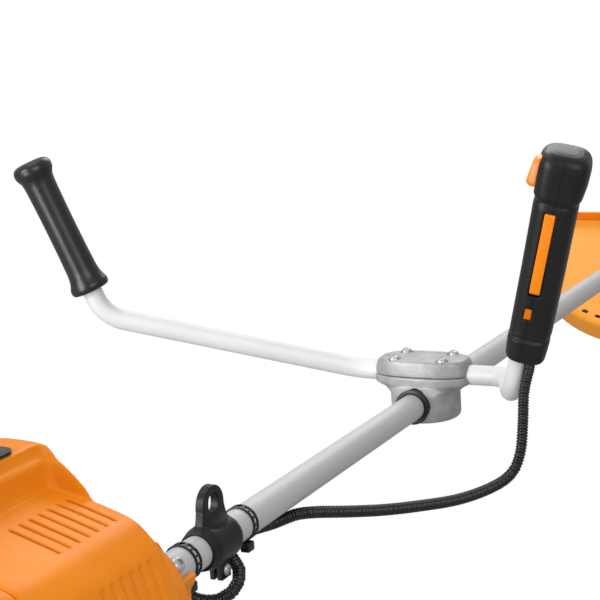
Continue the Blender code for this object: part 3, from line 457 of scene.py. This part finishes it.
def grip_skin(name, inset):
    """The throttle grip's outside, drawn in by the inset; the head is a little boxier than the handle."""
    rings = []
    for height, half_x, half_y, shift_x, shift_y in GRIP_SECTIONS:
        power = 2.8 + 0.5 * min(max((height - 158) / 16, 0), 1)
        outline = oval(half_x - inset, half_y - inset, power, 96)
        rings.append([(x + shift_x, y + shift_y, height) for x, y in outline])
    return skin(name, rings, GRIP)


def throttle_grip():
    """One moulding for both halves, with the fine parting line between them."""
    shell = grip_skin("throttle_shell_skin", 0.0)
    cut(shell, rod("bar_room", 10.3, (0, 0, -20), (0, 0, 117), GRIP),
        rod("socket_room", 5.5, (10.8, -11.2, -20), (10.8, -11.2, 12), GRIP),
        box("mechanism_room", (-12, -12, 124), (19, 18, 196), GRIP),
        box("lever_slot", (-3.1, -40, 70.3), (7.5, -13.2, 152.6), GRIP),
        box("trigger_slot", (-2.4, 10, 134), (10.4, 60, 190), GRIP),
        box("switch_slot", (-40, -9.4, 166), (-4, 5.4, 199.5), GRIP),
        box("window_slot", (-3.5, -40, 46), (3.5, -14.5, 57), GRIP))
    melt(shell, 0.65, 3, 0.35)
    lean = Matrix.Rotation(math.radians(1.6), 4, "Y")
    seam = box("seam", (-0.28, -60, 1), (0.28, 60, 204), GRIP, (0.3, 0, 0), lean)
    cut(seam, grip_skin("seam_core", 0.6))
    cut(shell, seam)
    done(shell, black, "frame", "throttle_shell_left", "throttle_shell_right", slot="black_plastic", sharp=60)
    # The orange behind the window is the part's own; its darker tone is painted shade in the recess
    window = box("window_insert", (-3.3, -17.6, 46.2), (3.3, -13.2, 56.8), GRIP)
    done(bevel(window, 0.5), orange_painted_shade, "frame", slot="orange_plastic")
    lever = [(0.5, 1), (0.4, -3.8), (-2, -4.3), (-40, -4.9), (-71, -5.4), (-76, -4.8), (-78.2, -3), (-78, -1)]
    sideways = GRIP @ Matrix.Translation((2.2, -16.2, 151)) @ Matrix.Rotation(math.radians(90), 4, "Y")
    strip = prism("lockout_skin", [(-z, y) for z, y in lever], -4.8, 4.8, sideways)
    done(bevel(strip, 1.0, 3), orange_gloss, "lockout", "lockout_lever", slot="orange_plastic")
    spot = GRIP @ Matrix.Translation((4, 21, 176)) @ Matrix(((0, 0, -1), (-1, 0, 0), (0, 1, 0))).to_4x4()
    pull = [(0, 9), (-9, 7), (-16, -2), (-20, -12), (-19.5, -22), (-15, -30), (-11, -33), (-8, -28),
            (-6, -12), (2, -9), (8, -2), (6, 6)]
    smooth = [tuple(p) for p in curve_through(pull + [pull[0]], 2.5)][:-1]
    done(bevel(prism("trigger_skin", smooth, -5.8, 5.8, spot), 1.2, 3), orange_gloss, "trigger",
         "throttle_trigger", slot="orange_plastic")
    spot = GRIP @ Matrix.Translation((-16, -2, 183)) @ Matrix(((0, -1, 0), (0, 0, -1), (1, 0, 0))).to_4x4()
    rocker = [(-13.5, -2), (-13.5, 6), (-10, 9.5), (10, 6.5), (14, 2), (14, -2)]
    switch = prism("switch_skin", rocker, -6.7, 6.7, spot)
    done(bevel(switch, 1.9, 4), orange_gloss, "switch", "stop_switch", slot="orange_plastic", sharp=50)
    pad = prism("switch_pad", [(x * 0.74, 3.4 + (z - 3.4) * 0.6) for x, z in rocker], -6.95, 6.95, spot)
    done(bevel(pad, 0.5, 2), orange_pad, "switch", slot="orange_plastic", sharp=50)


# ---------------------------------------------------------------- conduit, straps, hanger
LEAN = math.radians(38)
REACH = 19.2


def strap_spot(y):
    """The conduit's centre where a strap holds it beside the tube."""
    return (-REACH * math.sin(LEAN), y, -REACH * math.cos(LEAN))


CONDUIT_ROUTE = (
    (127, -67, 30), (126, -69, 5), (124, -74, -25), (118, -85, -43), (106, -109, -50), (89, -147, -50),
    (69, -189, -44), (51, -226, -37), (34, -262, -28), (19, -290, -20.5), (8, -307, -18), (-2, -324, -20),
    (-9, -345, -18.5), strap_spot(-370), strap_spot(-377), strap_spot(-388), (-8.5, -394.5, -19.5),
    (0.5, -399, -24.5), (7.5, -403.5, -29.5), (11, -411, -36), (9.5, -420, -42), (4, -430, -45),
    (-3, -440, -43), (-9, -449, -37), (-12, -456, -27), strap_spot(-463), strap_spot(-470), strap_spot(-477),
    (-15, -482, -23),
    (-18, -488, -27), (-25, -496, -29), (-40, -510, -28), (-58, -535, -20), (-66, -562, -2), (-66, -585, 20),
    (-66, -612, 34),
)


def conduit():
    socket = (GRIP @ Vector((10.8, -11.2, 0))) - CLAMP.translation
    lead = [socket + RIGHT_UP * 11, socket, socket - RIGHT_UP * 10]
    route = curve_through(lead + list(CONDUIT_ROUTE), 8)
    path = [route[0]]
    for a, b in zip(route, route[1:]):
        steps = max(1, round((b - a).length / 0.5))
        path += [a.lerp(b, (i + 1) / steps) for i in range(steps)]
    hose = sweep("conduit_skin", path, CONDUIT_R, CLAMP, 20, (2.8, 1.0))
    done(hose, rubber, "frame", "throttle_conduit", slot="black_plastic", sharp=80)


def hull(big, small, drop, count=64):
    """Outline round a big circle and a small one that lies below it."""
    tilt = math.degrees(math.asin((big - small) / drop))
    return arc(big, -tilt, 180 + tilt, count) + arc(small, 180 + tilt, 360 - tilt, count // 2, (0, -drop))


def straps():
    """Perforated bands; their holes show the silver tube."""
    for name, y in (("conduit_strap_front", -383), ("conduit_strap_rear", -470)):
        spot = CLAMP @ Matrix.Translation((0, y, 0)) @ Matrix.Rotation(LEAN, 4, "Y")
        spot = spot @ Matrix.Rotation(math.radians(90), 4, "X")
        strap = prism(name + "_skin", hull(14.6, 7.0, REACH), -3.75, 3.75, spot, hull(13.15, 5.4, REACH))
        bevel(strap, 0.35, 2)
        holes = []
        for i in range(10):
            tilt = Matrix.Rotation(math.radians(-20 + 24.4 * i), 4, "Z")
            holes.append(box("hole_%d" % i, (10, -2.3, -2.3), (20, 2.3, 2.3), spot @ tilt))
        cut(strap, *holes)
        done(strap, band, "frame", name, slot="black_plastic", sharp=30)
        head = box(name + "_head", (2.5, y - 8.5, -21), (10.5, y + 1.5, -13.4), CLAMP)
        done(bevel(head, 1.2, 3), band, "frame", slot="black_plastic")


def hanger():
    rear, front, eye_y, bolt_y, bolt_z = -450, -407, -427, -415, -26
    ring = [(13.2, rear), (15.4, rear), (17.6, rear + 9), (17.6, front - 5), (15.8, front), (13.2, front)]
    body = revolve("hanger_skin", ring, CLAMP, steps=72)
    eye = arc(15.2, -6, 186, 33, (0, 30.5)) + [(-16.4, 23), (-18, 18.6), (-21, 15.6), (-21, 11), (20, 11),
                                               (20, 15.6), (18, 18.6), (16.4, 23)]
    hole = [(y, z + 31.5) for y, z in oval(7.2, 8.4, 2.2, 40)]
    upright = CLAMP @ Matrix.Translation((0, eye_y, 0)) @ Matrix(((0, 0, 1), (1, 0, 0), (0, 1, 0))).to_4x4()
    eyelet = prism("eyelet", eye, -3.8, 3.8, upright, hole)
    saddle = skin("saddle", [[(x * w, eye_y + y * d, z) for x, y in oval(1, 1, 2, 40)] for w, d, z in (
        (12, 19.6, 11), (9.5, 18.6, 17), (6.2, 17.4, 20), (4.2, 16.6, 23))], CLAMP)
    ears = box("ears", (-8, eye_y + 5, -33), (3, eye_y + 19, -14), CLAMP)
    join(body, eyelet, saddle, ears)
    cut(body, box("split", (-4, -500, -40), (-1.5, -380, -10), CLAMP),
        rod("bolt_hole", 2.8, (-20, bolt_y, bolt_z), (20, bolt_y, bolt_z), CLAMP),
        rod("tube_room", 13.2, (0, -500, 0), (0, -350, 0), CLAMP, 72),
        skin("eye_room", [[(x, eye_y + y, z) for y, z in hole] for x in (-12, 12)], CLAMP))
    melt(body, 0.5, 9, 0.5)
    done(body, black, "frame", "harness_hanger", slot="black_plastic", sharp=70)
    button_screw("hanger_bolt_skin", 4.6, 2.4, 12, CLAMP, (3.3, bolt_y, bolt_z), (1, 0, 0), "frame",
                 "hanger_bolt")


# ---------------------------------------------------------------- handlebar clamp
def clamp():
    def ring(half_x, half_y, power, height):
        return [(x, y, height) for x, y in oval(half_x, half_y, power, 96)]

    cap = skin("clamp_cap_skin", [ring(*row) for row in (
        (49.2, 25.6, 2.8, 27.2), (50, 26, 2.8, 28.0), (50, 26, 2.8, 31), (49.4, 25.8, 2.8, 35),
        (48.2, 25.4, 2.8, 39), (46.6, 24.9, 2.8, 41.4), (44.6, 24.2, 2.8, 42.8), (42.6, 23.3, 2.8, 43.3),
        (30, 16.6, 2.4, 43.5), (15, 8, 2.4, 43.6), (1, 0.6, 2.4, 43.6))], CLAMP)
    cut(cap, rod("bar_bore", 10.2, (-70, 0, 27), (70, 0, 27), CLAMP, 64))
    base = skin("clamp_base_skin", [ring(*row) for row in (
        (49.8, 25.9, 2.8, 26.8), (50.8, 26.6, 2.8, 26.0), (50.8, 26.6, 2.8, 20.5), (50, 26.6, 2.7, 18.6),
        (47.4, 26.8, 2.5, 17.0), (43.5, 28, 2.2, 15.4), (39.5, 31.5, 2.1, 13.0), (36.4, 34.2, 2.0, 10.5),
        (35, 35, 2, 8), (35, 35, 2, 4))], CLAMP)
    drum = [(0, 10), (34.6, 10), (35, 6), (35, -13), (34.4, -15.6), (32.6, -17.4), (30.5, -18), (0, -18)]
    join(base, revolve("drum", drum, CLAMP, axis=(0, 0, 1), steps=96))
    cut(base, rod("bore", 16.2, (0, -60, 0), (0, 60, 0), CLAMP, 72),
        rod("bar_bore", 10.2, (-70, 0, 27), (70, 0, 27), CLAMP, 64))
    seats = [("front_left", -1, 1), ("front_right", 1, 1), ("rear_left", -1, -1), ("rear_right", 1, -1)]
    spots = [(25.5 * side, 15.8 * end) for _, side, end in seats]
    for part in (base, cap):
        cut(part, *[rod("hole", 3.3, (x, y, 8), (x, y, 55), CLAMP) for x, y in spots])
    cut(cap, *[rod("seat", 6.2, (x, y, 41.5), (x, y, 55), CLAMP) for x, y in spots])
    done(melt(cap, 0.6, 4, 0.4), cast, "frame", "clamp_cap", slot="cast_aluminium", sharp=60)
    done(melt(base, 0.7, 8, 0.4), cast, "frame", "clamp_base", slot="cast_aluminium", sharp=60)
    for (tag, _, _), (x, y) in zip(seats, spots):
        button_screw("clamp_screw_skin_" + tag, 5.5, 4.4, 30, CLAMP, (x, y, 42.4), (0, 0, 1),
                     "frame", "clamp_screw_" + tag)
    bush = [(13.2, 37), (16, 37), (16, -37), (13.2, -37)]
    bush = revolve("clamp_bush_skin", bush, CLAMP, steps=72, soft=1.0)
    lip = [(13.3, -35.4), (17.6, -35.4), (17.6, -37.8), (13.3, -37.8)]
    lip = revolve("clamp_bush_lip", lip, CLAMP, steps=72, soft=1.1)
    done(lip, rubber, "frame", slot="black_rubber")
    done(bush, rubber, "frame", "clamp_bush", slot="black_rubber")


# ---------------------------------------------------------------- engine
REAR_SECTION = ((78, -8), (76, 14), (71.5, 30), (67.5, 46), (61.5, 60), (54.5, 68.5), (45, 76.8), (34, 81.2),
                (10, 88.2), (-14, 95.1), (-18, 98.5), (-19, 106), (-19.5, 114.5), (-23.5, 118), (-25, 122),
                (-29, 126), (-58, 127), (-66, 121), (-69, 108), (-69, 66))
FRONT_SECTION = ((78, -8), (76, 14), (71.5, 28), (67, 46), (61.5, 60), (54.5, 68.5), (45, 77), (34, 81.9),
                 (20, 86.2), (12.4, 88.6), (7, 96.5), (0, 104), (-8, 110.5), (-14, 115), (-19, 121),
                 (-26, 124.6), (-58, 125.6), (-66, 119), (-69, 106), (-69, 66))


def outline_at(share):
    """Rounded section outline, share of the way from the rear one to the front one."""
    spots = [Vector(a).lerp(Vector(b), share) for a, b in zip(REAR_SECTION, FRONT_SECTION)]
    ends = [2 * spots[0] - spots[1]] + spots + [2 * spots[-1] - spots[-2]]
    path = [spots[0]]
    for p0, p1, p2, p3 in zip(ends, ends[1:], ends[2:], ends[3:]):
        for i in range(1, 5):
            t = i / 4
            path.append(0.5 * (2 * p1 + (p2 - p0) * t + (2 * p0 - 5 * p1 + 4 * p2 - p3) * t**2
                               + (3 * p1 - p0 - 3 * p2 + p3) * t**3))
    return path


def section(y, share, inset=0.0, foot=-8):
    """Smooth section at y, drawn in towards its middle by about the inset."""
    middle_x, middle_z = 4, 50
    scale = 1 - inset / 66
    ring = []
    for x, z in outline_at(share):
        ring.append((middle_x + (x - middle_x) * scale, y, middle_z + (z - middle_z) * scale))
    return [(ring[0][0], y, foot), *ring[1:], (ring[-1][0], y, foot)]


def inner_section(y, share, wall, foot=-60):
    """Plain section at y, a wall's thickness inside the outer one."""
    outline = [Vector(a).lerp(Vector(b), share) for a, b in zip(REAR_SECTION, FRONT_SECTION)]
    ring = []
    for i, point in enumerate(outline):
        run = (outline[min(i + 1, len(outline) - 1)] - outline[max(i - 1, 0)]).normalized()
        x, z = point + Vector((-run.y, run.x)) * wall
        ring.append((x, y, z))
    return [(ring[0][0], y, foot), *ring[1:], (ring[-1][0], y, foot)]


def shroud():
    """Engine cover: rows are (y, share of the front outline, inset)."""
    rows = ((-116, 0, 2.0), (-115, 0, 0.8), (-113.6, 0, 0.1), (-112, 0, 0), (2, 0, 0), (4.6, 0.06, 0),
            (7, 0.2, 0), (8.6, 0.45, 0), (9.8, 0.72, 0), (10.8, 0.9, 0.2), (11.6, 1, 0.8), (12, 1, 2.0))
    body = skin("shroud_skin", [section(*row) for row in rows], ENGINE)
    rows = ((-120, 0, 3.2), (2, 0, 3.2), (6, 0.15, 3.2), (9, 0.3, 3.2))
    room = skin("room", [inner_section(*row) for row in rows], ENGINE)
    cut(body, room, box("left_room", (-90, -136, -40), (-34, 60, 71), ENGINE),
        rod("fan_opening", 50.6, (0, -20, 0), (0, 80, 0), ENGINE, 96),
        rod("starter_opening", 57.6, (0, -136, 0), (0, -108, 0), ENGINE, 96),
        rod("outlet_opening", 8, (60, -56, 12), (90, -56, 12), ENGINE))
    lean = Matrix.Rotation(math.atan(0.29), 4, "Y")
    tools = []
    for i in range(7):
        y = -59 + i * 10
        groove = box("louvre_%d" % i, (-20, y - 1.15, -4.4), (20, y + 1.15, 9), ENGINE, (17, 0, 86.2), lean)
        tools.append(groove)
    for i in range(6):
        y = -56 + i * 10.4
        line = [(79.4, y, -14), (77.6, y, 14), (72.9, y, 30.5), (68.6, y, 47), (64.4, y, 57.6),
                (67.4, y, 64.5)]
        tools.append(sweep("flute_%d" % i, curve_through(line, 5), 3.4, ENGINE, 16))
    cut(body, *tools)
    melt(body, 0.8, 2, 0.35)
    done(body, orange, "frame", "engine_shroud", slot="orange_plastic", sharp=70)
    # Sheet of darker orange under the louvre grooves: the orange is the shroud's own, its darker tone is
    # painted shade down the grooves
    floor = box("louvre_floor", (-23, -64, -4.6), (23, 6, -3.4), ENGINE, (17, 0, 86.2), lean)
    done(floor, orange_painted_shade, "frame", slot="orange_plastic")
    outline = []
    for x, y, start in ((-36, -23, 0), (-47, -23, 90), (-47, -51, 180), (-36, -51, 270)):
        outline += arc(10, start, start + 90, 9, (x, y))
    plate = prism("plain_badge", outline, 126.2, 128.6, ENGINE)
    done(bevel(plate, 0.4, 2), badge, "frame", slot="black_plastic")


def rear_cover():
    """Rear cover in the shroud's outline with the recoil starter's round housing."""
    rows = ((-116.6, 0, 2.2), (-117.2, 0, 1.2), (-118.4, 0, 0.8), (-128, 0, 0.9), (-131, 0, 2.2),
            (-132.6, 0, 4.2), (-133, 0, 6.5))
    cover = skin("starter_skin", [section(*row) for row in rows], ENGINE)
    cut(cover, rod("cup_room", 55, (0, -100, 0), (0, -150, 0), ENGINE, 96))
    cup = [(0, -112.5), (4, -112.5), (4, -134), (46, -134), (54, -127), (54, -96), (57, -96), (57, -128),
           (55, -131.5), (51, -134.6), (46, -136.6), (30, -137), (0, -137)]
    housing = revolve("starter_cup", cup, ENGINE, steps=96, loop=False)
    join(cover, housing)
    vents = []
    for i in range(20):
        angle = Matrix.Rotation(2 * math.pi * i / 20, 4, "Y")
        vents.append(box("vent_%d" % i, (24, -150, -1.5), (44, -131, 1.5), ENGINE @ angle))
    vents.append(rod("rope_hole", 2.4, (40, -123, 27), (100, -123, 27), ENGINE))
    cut(cover, *vents)
    melt(cover, 0.95, 3, 0.4)
    done(cover, orange, "frame", "starter_housing", slot="orange_plastic", sharp=70)
    path = [(32 + 54 * i / 30, -123, 27) for i in range(31)]
    rope = sweep("rope_skin", path, 1.7, ENGINE, 12)
    done(rope, rubber, None, "starter_rope", slot="black_rubber")
    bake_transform(rope)


def engine_front():
    profile = [(13.3, 117), (19.5, 117), (19.5, 98), (21, 92), (27, 84), (36, 74), (46, 63), (50, 56),
               (50, 36), (46, 36), (46, 54), (33, 69), (22, 82), (16, 88), (13.3, 88)]
    bell = revolve("clutch_housing_skin", profile, ENGINE, steps=96, soft=1.6)
    ribs = []
    for i in range(6):
        angle = Matrix.Rotation(math.radians(30 + 60 * i), 4, "Y")
        outline = ((89, 19), (89, 25), (62, 49.4), (56, 48.6), (66, 40), (80, 26))
        rings = [[(x, y, z) for y, z in outline] for x in (-1.6, 1.6)]
        ribs.append(skin("rib_%d" % i, rings, ENGINE @ angle))
    join(bell, *ribs, box("cradle_foot", (-8, 93, -33), (15, 115, -12), ENGINE))
    out = Vector((0.78, 0, 0.625)).normalized()
    seat = out * 13.3 + Vector((0, 105, 0))
    cut(bell, box("cradle_room", (-40, 90.5, -1), (40, 130, 40), ENGINE),
        rod("tube_room", 13.3, (0, 80, 0), (0, 130, 0), ENGINE, 96))
    melt(bell, 0.8, 4, 0.4)
    done(bell, orange_paint, "frame", "clutch_housing", slot="orange_paint", sharp=60)
    button_screw("tube_screw_skin", 6.2, 4.2, 5, ENGINE, seat + out * 0.5, out, "frame", "tube_clamp_screw")


# ---------------------------------------------------------------- guard and head
def guard():
    rim = -49.07
    profile = [(24.8, -12), (203, -12), (208, -12.4), (211.8, -13.9), (214.2, -16.4), (215, -20),
               (215, rim + 1), (214.4, rim), (212.6, rim), (212, rim + 1), (212, -21), (211, -17.6),
               (208, -15.6), (203, -15), (24.8, -15)]
    made = revolve("guard_skin", profile, HEAD, axis=(0, 0, 1), steps=180)
    cut(made, box("front", (-260, 50, -80), (260, 260, 20), HEAD))
    slots = []
    for i in range(17):
        angle = Matrix.Rotation(math.radians(-90 + (i - 8) * 7.2), 4, "Z")
        slots.append(box("slot_%d" % i, (199, -5.5, -18), (205, 5.5, -5), HEAD @ angle))
    cut(made, *slots)
    melt(made, 1.2, 2, 0.35)
    # The plate's lighter orange is painted sheen
    done(made, orange_painted_sheen, "frame", "guard", slot="orange_plastic", sharp=50)
    # Black band right under the guard's slots: painted shade, standing in for the shadowed ground seen
    # through the slots
    shade_band = [(195, -15.2), (207, -15.2), (207, -16.8), (195, -16.8)]
    shade_band = revolve("guard_shade_band", shade_band, HEAD, axis=(0, 0, 1), steps=180)
    cut(shade_band, box("shade_band_front", (-260, 40, -80), (260, 260, 20), HEAD))
    done(shade_band, rubber, "frame", slot="black_rubber")
    lip = box("guard_lip", (-207, 46.8, -14), (207, 50.1, 4), HEAD)
    done(bevel(lip, 1.2, 3), orange_gloss, "frame", slot="orange_plastic")


def head():
    cup = [(6.3, -50.3), (30, -50.3), (50, -56), (54.2, -59), (55, -62), (55, -88), (52, -88), (52, -63),
           (48, -59.5), (28, -54.5), (12, -54.5), (12, -68), (6.3, -68)]
    housing = revolve("head_skin", cup, HEAD, axis=(0, 0, 1), steps=96, soft=0.8)
    ribs = []
    for i in range(18):
        angle = Matrix.Rotation(2 * math.pi * (i + 0.5) / 18, 4, "Z")
        ribs.append(rod("rib_%d" % i, 1.6, (55.2, 0, -62), (55.2, 0, -87.2), HEAD @ angle, 12))
    join(housing, *ribs)
    cut(housing, rod("line_exits", 3, (-70, 0, -74), (70, 0, -74), HEAD))
    done(bevel(housing, 0.4, 2, 40), black, "head", "head_housing", slot="black_plastic", sharp=40)
    knob = [(0, -74), (12.6, -74), (12.6, -65), (47, -65), (47, -67), (20, -67), (20, -82), (49, -82),
            (49, -88), (26, -92), (24.6, -104), (22, -107), (18, -108), (0, -108)]
    knob = revolve("knob_skin", knob, HEAD, axis=(0, 0, 1), steps=72, soft=1.0)
    done(knob, black, "knob", "bump_knob", slot="black_plastic")
    for side, name in ((1, "line_end_right"), (-1, "line_end_left")):
        path = [(side * (24 + 179 * i / 60), 0, -74) for i in range(61)]
        line = sweep(name + "_skin", path, 1.2, HEAD, 12)
        done(line, orange_gloss, "head", name, slot="black_plastic")
    body = [(0, 34), (12, 34), (15.5, 33.4), (21, 29.6), (23.4, 26), (24, 10), (24, -18), (22.5, -22.5),
            (20, -26), (20, -40), (6.6, -40), (6.6, -12), (17.5, -12), (17.5, 26), (0, 28)]
    gearbox = revolve("gearbox_skin", body, HEAD, axis=(0, 0, 1), steps=72, loop=False)
    socket = revolve("socket", [(0, -14), (18, -14), (18, -60), (17, -62), (0, -62)], STRAIGHT, steps=72)
    join(gearbox, socket)
    cut(gearbox, rod("tube_seat", 13.2, (0, -90, 0), (0, -24.5, 0), STRAIGHT, 72),
        rod("pinion_room", 12.2, (0, -40, 0), (0, -2, 0), STRAIGHT),
        rod("gear_room", 17.8, (0, 0, -12.4), (0, 0, 25.6), HEAD, 64))
    melt(gearbox, 0.8, 8, 0.4)
    done(gearbox, cast, "frame", "gearbox_housing", slot="cast_aluminium", sharp=60)


# CAD nodes that stay as they are: material and width of the softened edges
KEPT = {
    "stand": (black, 1.2), "fuel_tank": (tank_plastic, 0), "fuel_cap": (black, 0.8),
    "air_filter_cover": (black, 0), "carburettor": (cast, 0.6), "muffler": (dark_steel, 0.6),
    "cylinder": (cast, 0.3), "crankcase": (cast, 0.6), "fan_housing": (black, 0.5),
    "flywheel": (cast, 0.4), "crankshaft": (steel, 0.3), "piston": (cast, 0.3),
    "connecting_rod": (steel, 0.3), "spark_plug": (ceramic, 0.3), "plug_cap": (rubber, 0.8),
    "primer_bulb": (rubber, 0.3), "throttle_cam": (steel, 0.2), "choke_lever": (orange_gloss, 0.5),
    "starter_handle": (black, 0), "starter_pulley": (black, 0.3), "clutch_drum": (steel, 0.3),
    "clutch_shoe_right": (steel, 0.4), "clutch_shoe_left": (steel, 0.4), "drive_shaft": (steel, 0.2),
    "shaft_bush": (rubber, 0.3), "pinion_gear": (steel, 0.15), "output_shaft": (steel, 0.3),
    "guard_bracket": (black, 0.8), "line_cutter": (steel, 0.2),
}


# ---------------------------------------------------------------- stage
def seen_white(tree, shader, kind, output):
    """The backdrop is plain white where it is looked at, and lights the object more softly."""
    white = tree.nodes.new(kind)
    white.inputs["Color"].default_value = (1, 1, 1, 1)
    white.inputs["Strength"].default_value = 1.0
    rays = tree.nodes.new("ShaderNodeLightPath")
    mix = tree.nodes.new("ShaderNodeMixShader")
    tree.links.new(rays.outputs["Is Camera Ray"], mix.inputs["Fac"])
    tree.links.new(shader.outputs[0], mix.inputs[1])
    tree.links.new(white.outputs[0], mix.inputs[2])
    tree.links.new(mix.outputs[0], output.inputs["Surface"])


def stage():
    scene = bpy.context.scene
    camera = bpy.data.objects.new("camera", bpy.data.cameras.new("camera"))
    scene.collection.objects.link(camera)
    camera.data.lens = 90
    camera.data.sensor_width = 36
    camera.data.clip_start = 0.05
    camera.data.clip_end = 60
    right = Vector((0.8886, 0.4542, -0.0642))
    up = Vector((-0.032, 0.201, 0.9791))
    back = Vector((0.4576, -0.8679, 0.1932))
    pose = Matrix((right, up, back)).transposed().to_4x4()
    pose.translation = (0.5769, -0.7527, 0.5477)
    camera.matrix_world = pose
    scene.camera = camera
    scene.view_settings.view_transform = "Standard"
    far = 9000
    corners = [(-far, -far, 0), (far, -far, 0), (far, far, 0), (-far, far, 0)]
    floor = link("floor", corners, [(0, 1, 2, 3)], ROOT)
    paint = finish("floor_paint", (0.34, 0.34, 0.34), (0.37, 0.37, 0.37), 0.8, patch=2, grain=60, bump=0.02,
                   specular=0.1)
    floor.data.materials.append(paint)
    seen_white(paint.node_tree, paint.node_tree.nodes["Principled BSDF"], "ShaderNodeEmission",
               paint.node_tree.nodes["Material Output"])
    world = bpy.data.worlds.new("studio")
    scene.world = world
    world.use_nodes = True
    sky = world.node_tree.nodes["Background"]
    sky.inputs["Color"].default_value = (1, 1, 1, 1)
    sky.inputs["Strength"].default_value = 0.55
    seen_white(world.node_tree, sky, "ShaderNodeBackground", world.node_tree.nodes["World Output"])
    # name, place, target, size, power, share of the shine
    lamps = (("key", (-1.15, -1.5, 0.95), (0.0, 0.3, 0.15), 1.0, 34, 1.0),
             ("low", (-0.50, -0.62, 0.10), (-0.33, 0.5, 0.32), 0.5, 8, 1.0),
             ("top", (-0.7, 0.2, 2.4), (0.0, 0.2, 0.15), 1.6, 16, 0.3),
             ("fill", (1.9, -1.2, 1.4), (0, 0.3, 0.15), 1.6, 30, 0.4),
             ("back", (-0.6, 3.0, 2.2), (0, 1.0, 0.15), 1.8, 36, 0.2))
    for name, at, target, size, power, shine in lamps:
        light = bpy.data.lights.new(name, "AREA")
        light.size = size
        light.energy = power
        light.specular_factor = shine
        lamp = bpy.data.objects.new(name, light)
        scene.collection.objects.link(lamp)
        lamp.location = at
        lamp.rotation_euler = (Vector(target) - Vector(at)).to_track_quat("-Z", "Y").to_euler()


stage()
shaft_and_bar()
throttle_grip()
conduit()
straps()
hanger()
clamp()
shroud()
rear_cover()
engine_front()
guard()
head()
for node, (look, width) in KEPT.items():
    dress(node, look, width)
